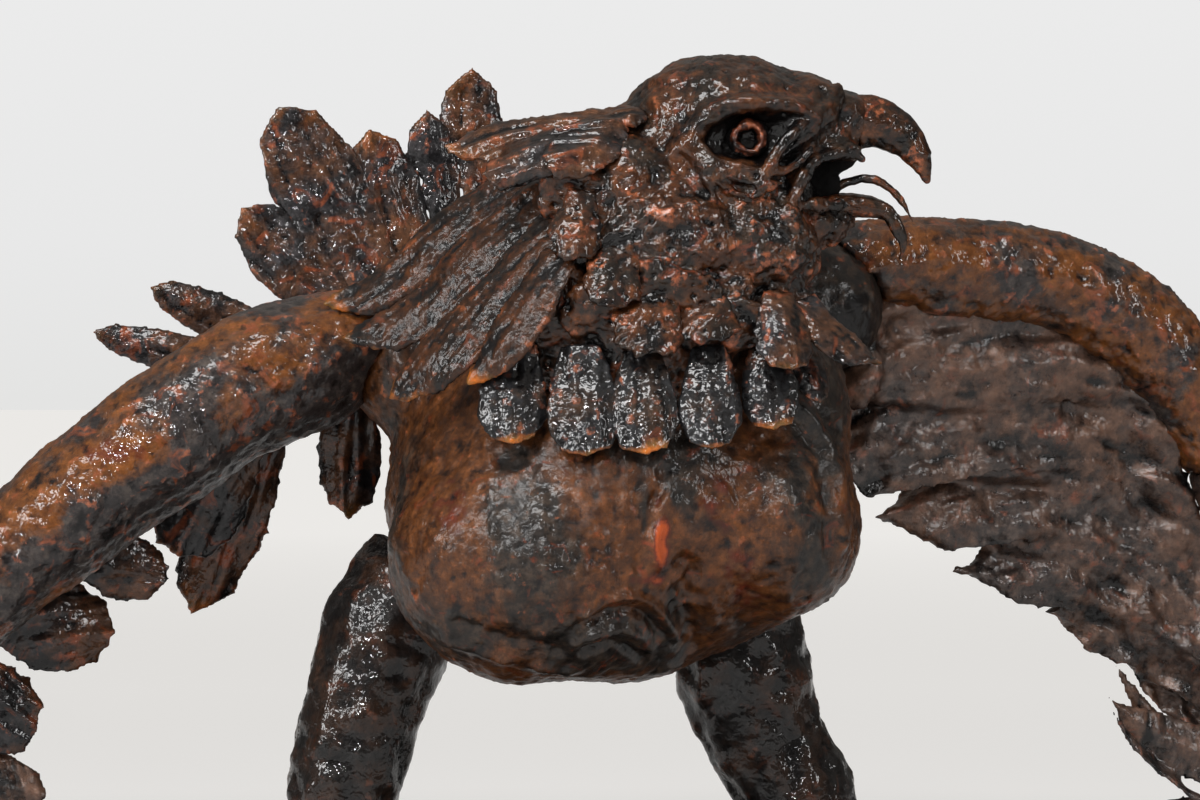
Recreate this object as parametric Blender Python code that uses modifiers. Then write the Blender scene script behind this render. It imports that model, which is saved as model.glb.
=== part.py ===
"""Eagle sculpture, welded up from hammered sheet-metal shells and cut feather plates, standing on a low
steel base with its wings lowered, its tail raised and its head turned in profile.

The shapes are laid out on a front elevation. at(x, z, depth) takes a point of that elevation in millimetres,
x from the centre line and z from the top of the base, and sets it depth millimetres behind the centre plane.
-Y is the front of the base and +Z is up. Lengths below are metres unless a comment says otherwise."""

import math

import bmesh
import bpy
from mathutils import Matrix, Vector
from mathutils.bvhtree import BVHTree

# Driving dimensions
FIGURE_HEIGHT = 0.591
BASE_LENGTH = 0.470
BASE_WIDTH = 0.400
BASE_THICKNESS = 0.018
BASE_CORNER = 0.075
BASE_CHAMFER = 0.003
PLATE_THICKNESS = 0.0026
WELD_GAP = 0.0003
# A cutter's corners stand out at most this many times the weld gap, as at the corner of a cube.
CORNER_REACH = 1.75

# The elevation is drawn for a figure 591 mm tall, so one drawing millimetre is this many metres.
DRAWN_HEIGHT = 591.0
MM = FIGURE_HEIGHT / DRAWN_HEIGHT

# The elevation is drawn as it is seen from this far in front, in drawing millimetres.
SIGHT_DISTANCE = 3000.0
SIGHT_X = -12.0
SIGHT_Z = 384.0

# Modelling fineness, in drawing millimetres and counts.
BODY_VOXEL = 9.0
HEAD_VOXEL = 3.6
FOOT_VOXEL = 3.4
PLATE_ROWS = 5
PLATE_COLUMNS = 2
TO_FRONT = (0.0, -1.0, 0.0)

COPPER_BROWN = ("copper_brown_shell", (0.115, 0.046, 0.022), 0.42, 0.75)
DARK_STEEL = ("dark_steel_plate", (0.060, 0.055, 0.055), 0.38, 0.85)
WELD_METAL = ("weld_built_metal", (0.085, 0.045, 0.030), 0.45, 0.80)
BARE_COPPER = ("bare_copper", (0.420, 0.150, 0.070), 0.35, 0.90)
BASE_STEEL = ("base_steel", (0.050, 0.042, 0.038), 0.50, 0.80)

parts = bpy.data.collections.new("eagle_sculpture")
cutters = bpy.data.collections.new("cutters")
placed = []


def clear_scene():
    for old in list(bpy.data.objects):
        bpy.data.objects.remove(old)
    bpy.context.scene.collection.children.link(parts)
    bpy.context.scene.collection.children.link(cutters)


def at(x, z, depth=0.0):
    """A point of the front elevation, carried back along its sight line to its depth."""
    spread = 1.0 + depth / SIGHT_DISTANCE
    seen = Vector((SIGHT_X + (x - SIGHT_X) * spread, depth, SIGHT_Z + (z - SIGHT_Z) * spread))
    return seen * MM + Vector((0.0, 0.0, BASE_THICKNESS + WELD_GAP))


def finish(spec):
    """The material of that name, made once."""
    name, colour, roughness, metallic = spec
    made = bpy.data.materials.get(name)
    if made is None:
        made = bpy.data.materials.new(name)
        made.use_nodes = True
        shader = made.node_tree.nodes["Principled BSDF"]
        shader.inputs["Base Color"].default_value = (*colour, 1.0)
        shader.inputs["Roughness"].default_value = roughness
        shader.inputs["Metallic"].default_value = metallic
    return made


def object_of(name, mesh, spec=None, home=parts):
    made = bpy.data.objects.new(name, mesh)
    home.objects.link(made)
    if spec is not None:
        made.data.materials.clear()
        made.data.materials.append(finish(spec))
    return made


def baked(obj):
    """Replaces the object's mesh by what its modifiers make of it."""
    graph = bpy.context.evaluated_depsgraph_get()
    graph.update()
    mesh = bpy.data.meshes.new_from_object(obj.evaluated_get(graph), depsgraph=graph)
    obj.modifiers.clear()
    obj.data = mesh
    return obj


def islands_of(bm):
    """The separate shells of a mesh, as lists of faces."""
    left = set(bm.faces)
    found = []
    while left:
        shell = [left.pop()]
        for face in shell:
            for edge in face.edges:
                fresh = [near for near in edge.link_faces if near in left]
                left.difference_update(fresh)
                shell.extend(fresh)
        found.append(shell)
    return found


def keep_largest(obj):
    """Drops the offcuts that a cut leaves beside the piece."""
    bm = bmesh.new()
    bm.from_mesh(obj.data)
    bmesh.ops.remove_doubles(bm, verts=bm.verts, dist=1e-6)
    shells = islands_of(bm)
    shells.sort(key=lambda shell: sum(face.calc_area() for face in shell))
    for shell in shells[:-1]:
        bmesh.ops.delete(bm, geom=shell, context="FACES")
    bmesh.ops.triangulate(bm, faces=bm.faces)
    bm.to_mesh(obj.data)
    bm.free()
    return obj


def box_of(obj):
    corners = [v.co for v in obj.data.vertices]
    low = Vector(map(min, *corners))
    high = Vector(map(max, *corners))
    return low, high


def touches(obj, around):
    """Whether the skins of the two meshes meet."""
    (low_a, high_a), (low_b, high_b) = box_of(obj), box_of(around)
    if not all(low_a[i] < high_b[i] and low_b[i] < high_a[i] for i in range(3)):
        return False
    trees = [
        BVHTree.FromPolygons([v.co for v in one.data.vertices], [face.vertices for face in one.data.polygons])
        for one in (obj, around)
    ]
    return bool(trees[0].overlap(trees[1]))


def swollen(obj, by):
    """A cutter: the object grown by a clearance all over."""
    grown = object_of("around_" + obj.name, obj.data.copy(), home=cutters)
    bm = bmesh.new()
    bm.from_mesh(grown.data)
    bm.normal_update()
    moves = [(v, v.normal * by * min(v.calc_shell_factor(), CORNER_REACH)) for v in bm.verts]
    for v, move in moves:
        v.co += move
    bm.to_mesh(grown.data)
    bm.free()
    grown.hide_render = True
    grown.display_type = "WIRE"
    return grown


def boolean(obj, other, operation):
    cut = obj.modifiers.new(operation.lower(), "BOOLEAN")
    cut.operation = operation
    cut.object = other
    cut.use_self = True
    return baked(obj)


def fitted(obj):
    """Cuts the piece clear of the pieces already placed, by the weld gap, and places it."""
    for other in placed:
        around = swollen(other, WELD_GAP)
        if touches(obj, around):
            boolean(obj, around, "DIFFERENCE")
            keep_largest(obj)
        bpy.data.objects.remove(around)
    placed.append(obj)
    return obj


def ball(centre, radii, tilt=0.0, sides=20):
    """An ellipsoid of the elevation. tilt turns it about the line of sight, in degrees."""
    bm = bmesh.new()
    bmesh.ops.create_uvsphere(bm, u_segments=sides, v_segments=sides // 2, radius=1.0)
    size = Matrix.Diagonal(Vector(radii) * MM).to_4x4()
    turn = Matrix.Rotation(math.radians(tilt), 4, "Y")
    bmesh.ops.transform(bm, matrix=Matrix.Translation(centre) @ turn @ size, verts=bm.verts)
    mesh = bpy.data.meshes.new("ball")
    bm.to_mesh(mesh)
    bm.free()
    return mesh


def rod(points, radii, steps=4, roundness=4, flatten=1.0):
    """A round bar through the points, with its radius in drawing millimetres at each.

    flatten squeezes it in depth."""
    curve = bpy.data.curves.new("rod", "CURVE")
    curve.dimensions = "3D"
    curve.bevel_depth = MM
    curve.bevel_resolution = roundness
    curve.resolution_u = steps
    curve.use_fill_caps = True
    spline = curve.splines.new("BEZIER")
    spline.bezier_points.add(len(points) - 1)
    for knot, point, radius in zip(spline.bezier_points, points, radii):
        knot.co = point
        knot.radius = radius
        knot.handle_left_type = "AUTO"
        knot.handle_right_type = "AUTO"
    holder = object_of("rod", curve, home=cutters)
    graph = bpy.context.evaluated_depsgraph_get()
    graph.update()
    mesh = bpy.data.meshes.new_from_object(holder.evaluated_get(graph), depsgraph=graph)
    bpy.data.objects.remove(holder)
    middle = sum((point.y for point in points), 0.0) / len(points)
    bm = bmesh.new()
    bm.from_mesh(mesh)
    bmesh.ops.remove_doubles(bm, verts=bm.verts, dist=1e-6)
    for v in bm.verts:
        v.co.y = middle + (v.co.y - middle) * flatten
    bmesh.ops.recalc_face_normals(bm, faces=bm.faces)
    bm.to_mesh(mesh)
    bm.free()
    return mesh


def joined(meshes):
    """Several meshes as one, still overlapping."""
    bm = bmesh.new()
    for mesh in meshes:
        bm.from_mesh(mesh)
    made = bpy.data.meshes.new("joined")
    bm.to_mesh(made)
    bm.free()
    return made


def blended(name, meshes, spec, voxel, smoothing, triangles):
    """Overlapping forms run together into one hammered skin of about that many triangles."""
    made = object_of(name, joined(meshes), spec)
    remesh = made.modifiers.new("skin", "REMESH")
    remesh.mode = "VOXEL"
    remesh.voxel_size = voxel * MM
    smooth = made.modifiers.new("smooth", "SMOOTH")
    smooth.factor = 0.5
    smooth.iterations = smoothing
    baked(made)
    made.data.calc_loop_triangles()
    thin = made.modifiers.new("thin", "DECIMATE")
    thin.ratio = min(1.0, triangles / len(made.data.loop_triangles))
    baked(made)
    return keep_largest(made)


# Half widths along a feather plate, as shares of its widest: (share of the length, share of the width).
SNIPPED = ((0.0, 0.50), (0.3, 0.80), (0.6, 1.0), (0.86, 0.96), (1.0, 0.62))
SPREAD = ((0.0, 0.34), (0.3, 0.62), (0.6, 0.90), (0.88, 1.0), (1.0, 0.66))
LOBED = ((0.0, 0.70), (0.3, 0.95), (0.65, 1.0), (0.88, 0.80), (1.0, 0.42))
POINTED = ((0.0, 0.80), (0.4, 1.0), (0.7, 0.90), (0.8, 0.68), (0.9, 0.34), (1.0, 0.06))
BROAD = ((0.0, 0.50), (0.3, 0.80), (0.6, 1.0), (0.88, 1.0), (1.0, 0.86))
CURLED = ((0.0, 0.80), (0.5, 1.0), (0.85, 0.66), (1.0, 0.24))


def share_at(stations, t):
    for (t0, w0), (t1, w1) in zip(stations, stations[1:]):
        if t <= t1:
            return w0 + (w1 - w0) * (t - t0) / (t1 - t0)
    return stations[-1][1]


def along(path, t):
    """A point of the smooth line through the path's points, with t from 0 to 1."""
    points = [path[0] * 2.0 - path[1], *path, path[-1] * 2.0 - path[-2]]
    run = max(0.0, min(t, 0.9999)) * (len(path) - 1)
    first = int(run)
    u = run - first
    a, b, c, d = points[first : first + 4]
    bow = (a * 2.0 - b * 5.0 + c * 4.0 - d) * u**2 + (b * 3.0 - a - c * 3.0 + d) * u**3
    return (b * 2.0 + (c - a) * u + bow) / 2.0


def plate(path, width, facing=TO_FRONT, outline=SNIPPED, bend=0.0, cup=4.0, rows=PLATE_ROWS,
          columns=PLATE_COLUMNS):
    """A cut and hammered feather plate that follows a path from its root to its tip.

    width, bend and cup are in drawing millimetres: bend bows the blade towards facing, and cup hollows
    it across."""
    bm = bmesh.new()
    bmesh.ops.create_grid(bm, x_segments=columns, y_segments=rows, size=1.0)
    for v in bm.verts:
        across, t = v.co.x, (v.co.y + 1.0) / 2.0
        behind = along(path, t - 0.02)
        ahead = along(path, t + 0.02)
        axis = (ahead - behind).normalized()
        side = axis.cross(Vector(facing)).normalized()
        up = side.cross(axis)
        half = width * MM / 2.0 * share_at(outline, t)
        rise = 4.0 * bend * t * (1.0 - t) + cup * (1.0 - across * across) * min(1.0, 2.2 * t)
        snipped = t - 0.07 * across * across * t**3
        v.co = along(path, snipped) + side * across * half + up * rise * MM
    mesh = bpy.data.meshes.new("plate")
    bm.to_mesh(mesh)
    bm.free()
    sheet = object_of("plate", mesh, home=cutters)
    wall = sheet.modifiers.new("wall", "SOLIDIFY")
    wall.thickness = PLATE_THICKNESS
    wall.offset = 0.0
    wall.use_even_offset = True
    mesh = baked(sheet).data
    bpy.data.objects.remove(sheet)
    bm = bmesh.new()
    bm.from_mesh(mesh)
    bmesh.ops.recalc_face_normals(bm, faces=bm.faces)
    bmesh.ops.triangulate(bm, faces=bm.faces)
    bm.to_mesh(mesh)
    bm.free()
    return mesh


def feather(name, path, width, **shape):
    """One feather plate as a piece of its own."""
    return fitted(object_of(name, plate(path, width, **shape), DARK_STEEL))


def fused(name, meshes, spec):
    """Forms that are welded into one piece."""
    made = object_of(name, meshes[0], spec)
    for mesh in meshes[1:]:
        other = object_of("join", mesh, home=cutters)
        boolean(made, other, "UNION")
        bpy.data.objects.remove(other)
    return fitted(keep_largest(made))


def solid(name, mesh, spec):
    return fitted(keep_largest(object_of(name, mesh, spec)))


def base():
    """The low base: a steel slab with clipped, rounded corners."""
    bm = bmesh.new()
    bmesh.ops.create_cube(bm, size=1.0)
    size = Matrix.Diagonal((BASE_LENGTH, BASE_WIDTH, BASE_THICKNESS, 1.0))
    lift = Matrix.Translation((0.0, 0.0, BASE_THICKNESS / 2.0))
    bmesh.ops.transform(bm, matrix=lift @ size, verts=bm.verts)
    uprights = [e for e in bm.edges if abs(e.verts[0].co.z - e.verts[1].co.z) > BASE_THICKNESS / 2.0]
    edges_only = {"profile": 0.5, "affect": "EDGES", "material": -1}
    bmesh.ops.bevel(bm, geom=uprights, offset=BASE_CORNER, segments=4, **edges_only)
    rim = [e for e in bm.edges if all(v.co.z > BASE_THICKNESS / 2.0 for v in e.verts)]
    bmesh.ops.bevel(bm, geom=rim, offset=BASE_CHAMFER, segments=1, **edges_only)
    mesh = bpy.data.meshes.new("base")
    bm.to_mesh(mesh)
    bm.free()
    return solid("base", mesh, BASE_STEEL)


def body():
    """The breast, back and rump as one hammered shell, with two breast lobes either side of the keel."""
    forms = [
        ball(at(-5, 322, -15), (138, 118, 104)),
        ball(at(-48, 288, -70), (92, 74, 74)),
        ball(at(91, 311, -45), (56, 72, 62)),
        ball(at(94, 372, -35), (46, 58, 62)),
        ball(at(-9, 240, -30), (62, 66, 26)),
        ball(at(0, 384, -20), (114, 80, 62)),
        ball(at(-108, 402, 10), (58, 52, 46)),
        ball(at(112, 440, 40), (50, 50, 46)),
        ball(at(-36, 342, 120), (96, 122, 84)),
        ball(at(-72, 360, 215), (56, 66, 48)),
    ]
    return fitted(blended("body_shell", forms, COPPER_BROWN, BODY_VOXEL, 5, 600))


def neck():
    """The neck, run up in weld from the shell to the back of the skull."""
    spine = [at(0, 378, -30), at(6, 426, -48), at(21, 471, -52), at(42, 510, -50)]
    forms = [rod(spine, (78, 76, 70, 60), 5, 4)]
    return fitted(blended("neck_shell", forms, WELD_METAL, BODY_VOXEL, 3, 240))


HEAD_DEPTH = -58.0


def head():
    """The skull, brows and cheeks, built up in weld, with the eye sockets and the open mouth cut in."""
    forms = [
        ball(at(65, 545, HEAD_DEPTH), (64, 46, 46), tilt=4.0),
        ball(at(108, 558, HEAD_DEPTH), (27, 32, 23)),
        ball(at(55, 501, HEAD_DEPTH), (62, 52, 50)),
        ball(at(122, 536, HEAD_DEPTH), (22, 22, 26)),
        ball(at(69, 467, HEAD_DEPTH), (50, 42, 28)),
        ball(at(12, 523, HEAD_DEPTH), (46, 42, 38)),
        ball(at(115, 490, HEAD_DEPTH), (26, 20, 13)),
    ]
    for side in (-1.0, 1.0):
        forms += [
            face_bead([(25, 521, 38), (42, 546, 44), (73, 562, 45), (113, 559, 34)], 6.0, side),
            face_bead([(131, 571, 14), (128, 557, 24), (116, 546, 32)], 4.5, side),
            face_bead([(116, 547, 33), (100, 536, 42), (89, 523, 48), (83, 508, 50)], 4.5, side),
            face_bead([(145, 534, 17), (121, 528, 27), (108, 515, 37), (98, 496, 42)], 5.0, side),
            face_bead([(42, 536, 46), (55, 522, 51), (79, 521, 51)], 4.0, side),
        ]
    made = blended("head", forms, WELD_METAL, HEAD_VOXEL, 2, 800)
    for side in (-1.0, 1.0):
        carve(made, ball(at(82, 542, HEAD_DEPTH + side * 48.0), (34, 16, 15), tilt=-6.0, sides=12))
    carve(made, ball(at(143, 515, HEAD_DEPTH), (36, 60, 12), tilt=8.0, sides=12))
    return fitted(made)


def face_bead(points, radius, side):
    """A laid bead of weld on one side of the head. side is -1 on the side that faces front."""
    path = [at(x, z, HEAD_DEPTH + side * off) for x, z, off in points]
    return rod(path, [radius] * len(path), 3, 2)


def carve(obj, mesh):
    tool = object_of("tool", mesh, home=cutters)
    boolean(obj, tool, "DIFFERENCE")
    bpy.data.objects.remove(tool)
    return keep_largest(obj)


def eye(name, side):
    """A turned copper ring with a bored pupil, seated in its socket."""
    profile = [(0.0, 2.0), (3.8, 2.0), (4.6, 6.4), (7.4, 8.0), (10.4, 6.0), (12.5, 1.0)]
    profile += [(12.5, -5.0), (0.0, -5.0)]
    bm = bmesh.new()
    points = [bm.verts.new((radius * MM, 0.0, height * MM)) for radius, height in profile]
    edges = [bm.edges.new(pair) for pair in zip(points, points[1:])]
    bmesh.ops.spin(
        bm, geom=points + edges, cent=(0, 0, 0), axis=(0, 0, 1), angle=math.tau, steps=10, use_merge=True
    )
    bmesh.ops.remove_doubles(bm, verts=bm.verts, dist=1e-6)
    bmesh.ops.recalc_face_normals(bm, faces=bm.faces)
    turn = Matrix.Rotation(math.radians(-90.0 * side), 4, "X")
    seat = Matrix.Translation(at(77, 541, HEAD_DEPTH + side * 36.0))
    bmesh.ops.transform(bm, matrix=seat @ turn, verts=bm.verts)
    mesh = bpy.data.meshes.new(name)
    bm.to_mesh(mesh)
    bm.free()
    return solid(name, mesh, BARE_COPPER)


def beak():
    upper = [at(x, z, HEAD_DEPTH) for x, z in ((124, 547), (149, 551), (167, 544), (180, 529), (185, 514))]
    solid("beak_upper", rod(upper, (20, 16.5, 13.5, 8, 1.5), 2, 3, flatten=0.66), WELD_METAL)
    lower = [at(x, z, HEAD_DEPTH) for x, z in ((112, 496), (131, 500), (149, 500), (163, 494), (172, 480))]
    solid("beak_lower", rod(lower, (9, 8, 6.5, 4.5, 1.2), 2, 2, flatten=1.3), WELD_METAL)
    tongue = [at(x, z, HEAD_DEPTH) for x, z in ((126, 510), (145, 517), (158, 514), (169, 503), (176, 490))]
    solid("tongue", rod(tongue, (3.2, 3, 2.8, 2.2, 0.8), 2, 1), WELD_METAL)


def crest():
    """The nape crest: one slit sheet whose lobes are bent apart."""
    near = (0.1, -0.85, 0.55)
    far = (0.1, 0.7, 0.6)
    lobes = [
        ball(at(6, 551, -66), (17, 34, 10), sides=10),
        plate([at(-1, 554, -84), at(-36, 546, -90), at(-72, 539, -84), at(-103, 533, -74)], 27, facing=near),
        plate([at(0, 550, -92), at(-36, 534, -104), at(-81, 516, -98)], 30, facing=near),
        plate([at(2, 547, -98), at(-18, 535, -108), at(-45, 521, -117)], 33, facing=near),
        plate([at(-6, 557, -44), at(-48, 548, -34), at(-85, 536, -24)], 34, facing=far, rows=4),
    ]
    fused("crest", lobes, COPPER_BROWN)


def hackles():
    """The long neck feathers that sweep down over the shoulders."""
    out = (-0.45, -0.85, 0.35)
    strands = [
        ([at(-48, 518, -50), at(-99, 490, -42), at(-137, 451, -34), at(-179, 440, -26)], 32),
        ([at(-42, 510, -76), at(-84, 473, -76), at(-120, 432, -66), at(-168, 420, -54)], 36),
        ([at(-32, 497, -98), at(-66, 450, -110), at(-102, 413, -104), at(-139, 383, -90)], 42),
        ([at(-35, 473, -118), at(-58, 432, -126), at(-90, 392, -118)], 34),
    ]
    for number, (path, width) in enumerate(strands, 1):
        feather(f"hackle_{number}", path, width, facing=out, outline=LOBED)
    far = [
        rod([at(-8, 501, -10), at(12, 497, 4), at(34, 494, 2)], (9, 10, 9), 1, 1),
        plate([at(-6, 501, -8), at(-108, 444, 52)], 38, facing=(-0.5, 0.6, 0.6), bend=8, rows=4),
        plate([at(12, 497, 4), at(-36, 417, 70)], 40, facing=(-0.1, 0.9, 0.4), bend=8, rows=4),
        plate([at(31, 494, 2), at(51, 411, 58)], 40, facing=(0.2, 0.9, 0.3), bend=8, rows=4),
    ]
    fused("nape_hackles", far, DARK_STEEL)


def collar():
    """The plates that hang round the breast, and the smaller ones over them."""
    lower = [
        (-63, 421, -108, -65, 356, -128, 42),
        (-24, 417, -118, -20, 349, -137, 45),
        (13, 414, -120, 15, 350, -140, 42),
        (53, 417, -116, 55, 353, -137, 38),
        (87, 419, -102, 92, 365, -124, 36),
    ]
    upper = [
        (-23, 510, -112, -28, 466, -126, 32),
        (-1, 480, -116, -7, 437, -133, 35),
        (21, 455, -116, 14, 409, -136, 42),
        (50, 451, -112, 52, 416, -130, 40),
    ]
    for number, (x0, z0, d0, x1, z1, d1, width) in enumerate(lower, 1):
        feather(f"collar_plate_{number}", [at(x0, z0, d0), at(x1, z1, d1)], width, cup=5.0, rows=4)
    for number, (x0, z0, d0, x1, z1, d1, width) in enumerate(upper, 1):
        feather(f"throat_plate_{number}", [at(x0, z0, d0), at(x1, z1, d1)], width, cup=5.0, rows=4)
    feather("chin_plate_1", [at(94, 449, -108), at(101, 400, -130)], 37,
            facing=(0.3, -0.9, 0.1), cup=6.0, rows=4)
    feather("chin_plate_2", [at(108, 444, -98), at(127, 420, -108), at(158, 404, -110)], 27,
            facing=(0.3, -0.8, 0.5), outline=POINTED, rows=4)
    feather("chin_plate_3", [at(107, 431, -88), at(118, 381, -100)], 26, facing=(0.5, -0.8, 0.0), rows=4)


def tail():
    """The raised fan behind the back."""
    front = (0.15, -1.0, 0.1)
    blades = [
        (-129, 377, 236, -318, 425, 240, 30),
        (-126, 384, 242, -283, 452, 248, 34),
        (-120, 389, 248, -228, 500, 258, 52),
        (-115, 394, 254, -206, 561, 268, 66),
        (-108, 396, 260, -151, 547, 280, 52),
        (-102, 397, 266, -116, 559, 290, 40),
        (-91, 396, 272, -89, 584, 300, 52),
        (-84, 394, 278, -45, 546, 306, 48),
        (-77, 390, 284, 12, 504, 310, 48),
    ]
    for number, (x0, z0, d0, x1, z1, d1, width) in enumerate(blades, 1):
        path = [at(x0, z0, d0), at(x1, z1, d1)]
        feather(f"tail_feather_{number}", path, width, facing=front, outline=SPREAD, bend=-6)


def wing_left():
    """The wing on the right of the elevation: an arm tube, a hanging vane of broad feathers and the hand."""
    arm = [at(121, 450, 36), at(150, 466, 48), at(194, 465, 62), at(237, 460, 76), at(272, 450, 88)]
    arm += [at(296, 436, 96), at(323, 413, 105), at(343, 384, 114), at(358, 348, 120)]
    solid("arm_left", rod(arm, (26, 29, 30, 30, 31, 32.5, 31.5, 28, 22), 2, 3), COPPER_BROWN)
    wrist = [at(358, 344, 120), at(373, 294, 122), at(389, 234, 112), at(403, 168, 96), at(411, 114, 84)]
    hand = [
        rod(wrist, (20, 18, 15, 12, 6), 1, 2),
        plate([at(398, 156, 104), at(351, 173, 98), at(318, 193, 92), at(296, 226, 84)], 16,
              facing=(-0.4, -0.5, 0.8), outline=CURLED, cup=1.0),
        plate([at(406, 150, 96), at(360, 167, 84), at(318, 184, 74), at(292, 206, 66)], 36,
              facing=(-0.25, -0.9, 0.35), outline=POINTED),
        plate([at(408, 117, 90), at(348, 144, 74), at(316, 169, 62), at(294, 198, 52)], 14,
              facing=(-0.5, -0.3, 0.8), outline=CURLED, cup=1.0),
        plate([at(407, 138, 92), at(306, 121, 66)], 44, facing=(-0.1, -0.95, 0.2), bend=-8, rows=4),
        plate([at(410, 120, 86), at(333, 72, 74)], 42, facing=(0.0, -1.0, 0.1), bend=-6, rows=4),
    ]
    fused("hand_left", hand, DARK_STEEL)
    vane = [
        ([at(341, 370, 112), at(300, 407, 98), at(228, 420, 74), at(131, 414, 46)], 72, SNIPPED),
        ([at(352, 324, 120), at(312, 367, 110), at(240, 384, 88), at(178, 374, 72), at(118, 354, 58)],
         92, BROAD),
        ([at(367, 288, 124), at(318, 326, 124), at(258, 342, 106), at(213, 330, 94), at(180, 316, 84),
          at(148, 312, 76)], 84, POINTED),
        ([at(378, 240, 116), at(330, 279, 130), at(288, 293, 122), at(249, 292, 112), at(228, 283, 106),
          at(195, 280, 96)], 78, POINTED),
        ([at(390, 204, 112), at(351, 235, 132), at(312, 256, 134), at(282, 256, 130), at(250, 256, 118)],
         76, POINTED),
        ([at(402, 157, 112), at(378, 181, 130), at(351, 210, 144), at(324, 221, 148), at(299, 227, 144)],
         62, POINTED),
    ]
    for number, (path, width, outline) in enumerate(vane, 1):
        name = f"vane_left_{number}"
        feather(name, path, width, facing=(-0.2, -1.0, 0.15), outline=outline, cup=6.0, columns=3)


def wing_right():
    """The wing on the left of the elevation, which comes forward of the body."""
    arm = [at(-130, 422, 10), at(-165, 415, 0), at(-190, 406, -10), at(-225, 392, -20), at(-269, 364, -32)]
    arm += [at(-311, 334, -42), at(-351, 300, -50), at(-390, 264, -54), at(-419, 230, -50)]
    solid("arm_right", rod(arm, (32, 37, 40, 44, 42, 39.5, 38, 34, 27), 2, 3), COPPER_BROWN)
    wrist = [at(-420, 229, -50), at(-438, 192, -38), at(-449, 144, -20), at(-452, 96, 0)]
    hand = [
        rod(wrist, (24, 19, 13, 6), 1, 2),
        plate([at(-448, 168, -28), at(-344, 146, -6)], 44, facing=(0.1, -1.0, 0.3), bend=4, rows=4),
        plate([at(-451, 131, -16), at(-365, 94, 6)], 42, facing=(0.1, -1.0, 0.3), bend=4, rows=4),
        plate([at(-452, 108, -6), at(-384, 56, 16)], 38, facing=(0.1, -1.0, 0.3), bend=4, rows=4),
    ]
    fused("hand_right", hand, DARK_STEEL)
    vane = [
        ([at(-162, 413, 34), at(-162, 314, 48)], 40),
        ([at(-211, 390, 30), at(-226, 342, 48), at(-256, 257, 62)], 52),
        ([at(-222, 384, 16), at(-244, 342, 22), at(-266, 290, 26)], 60),
        ([at(-360, 324, -26), at(-312, 290, -14), at(-272, 276, 0)], 42),
        ([at(-408, 288, -32), at(-354, 254, -20), at(-304, 244, -4)], 58),
        ([at(-438, 240, -34), at(-390, 206, -22), at(-349, 185, -6)], 56),
    ]
    for number, (path, width) in enumerate(vane, 1):
        feather(f"vane_right_{number}", path, width, facing=(0.15, -1.0, 0.15), cup=6.0)


def mantle():
    """Broad plates laid over the back, between the neck and the tail."""
    up_back = (-0.1, 0.35, 1.0)
    plates = [
        rod([at(-60, 426, 70), at(-12, 433, 78), at(36, 426, 80)], (10, 12, 10), 1, 1),
        plate([at(-51, 428, 68), at(-99, 414, 180)], 56, facing=up_back, bend=4, rows=4),
        plate([at(-12, 433, 72), at(-48, 419, 200)], 56, facing=up_back, bend=5, rows=4),
        plate([at(27, 427, 74), at(12, 408, 190)], 56, facing=up_back, bend=4, rows=4),
    ]
    fused("mantle", plates, DARK_STEEL)


def legs():
    right = [at(-120, 288, 24), at(-139, 246, 8), at(-153, 204, -2), at(-167, 144, -8), at(-173, 96, -6)]
    right.append(at(-175, 54, 0))
    solid("leg_right", rod(right, (35, 42, 38, 34, 25, 18), 2, 3), WELD_METAL)
    left = [at(69, 264, 56), at(75, 216, 60), at(89, 177, 62), at(108, 144, 62), at(120, 96, 60)]
    left.append(at(125, 54, 56))
    solid("leg_left", rod(left, (38, 43, 37, 37, 27, 18), 2, 3), WELD_METAL)
    foot("foot_right", (-175, 53, 0), -14.0)
    foot("foot_left", (125, 53, 56), 22.0)


def foot(name, ankle, heading):
    """Four toes round a shank, each ending in a talon that touches the base.

    heading turns the foot, in degrees."""
    x, z, depth = ankle
    top = at(x, z, depth)
    shank = top - Vector((0.0, 0.0, 22.0 * MM))
    sole = BASE_THICKNESS + WELD_GAP
    forms = [rod([top, shank], (15, 14), 2, 3)]
    for angle, reach in ((-38.0, 62.0), (0.0, 70.0), (38.0, 62.0), (180.0, 48.0)):
        turn = math.radians(heading + angle)
        out = Vector((math.sin(turn), -math.cos(turn), 0.0))
        knots = [shank.copy(), shank + out * 0.45 * reach * MM, shank + out * reach * MM]
        knots += [shank + out * (reach + 16.0) * MM, shank + out * (reach + 24.0) * MM]
        heights = (shank.z - sole, 20.0 * MM, 13.0 * MM, 11.0 * MM, 0.6 * MM)
        for knot, height in zip(knots, heights):
            knot.z = sole + height
        forms.append(rod(knots, (13, 11, 9.5, 5.5, 0.9), 3, 3))
    made = blended(name, forms, WELD_METAL, FOOT_VOXEL, 1, 320)
    return fitted(made)


def main():
    clear_scene()
    base()
    body()
    neck()
    head()
    eye("eye_right", -1.0)
    eye("eye_left", 1.0)
    beak()
    wing_right()
    wing_left()
    tail()
    mantle()
    legs()
    collar()
    hackles()
    crest()


main()
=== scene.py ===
# %% [markdown]
# # An eagle welded from sheet steel
#
# The real object is a hollow eagle, built from hammered sheet and run-up weld metal, copper washed, darkened by fire
# and sealed with a clear lacquer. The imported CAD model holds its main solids, about 0.9 m wide as estimated. This
# lesson puts the hand work back: the hammer marks, the weld beads, the pits and the patina.
#
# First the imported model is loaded. Its box is kept, because nothing that is added may reach outside it.

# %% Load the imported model
import math

import bmesh
import bpy
import numpy as np
from mathutils import Euler, Matrix, Vector, kdtree, noise


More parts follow.
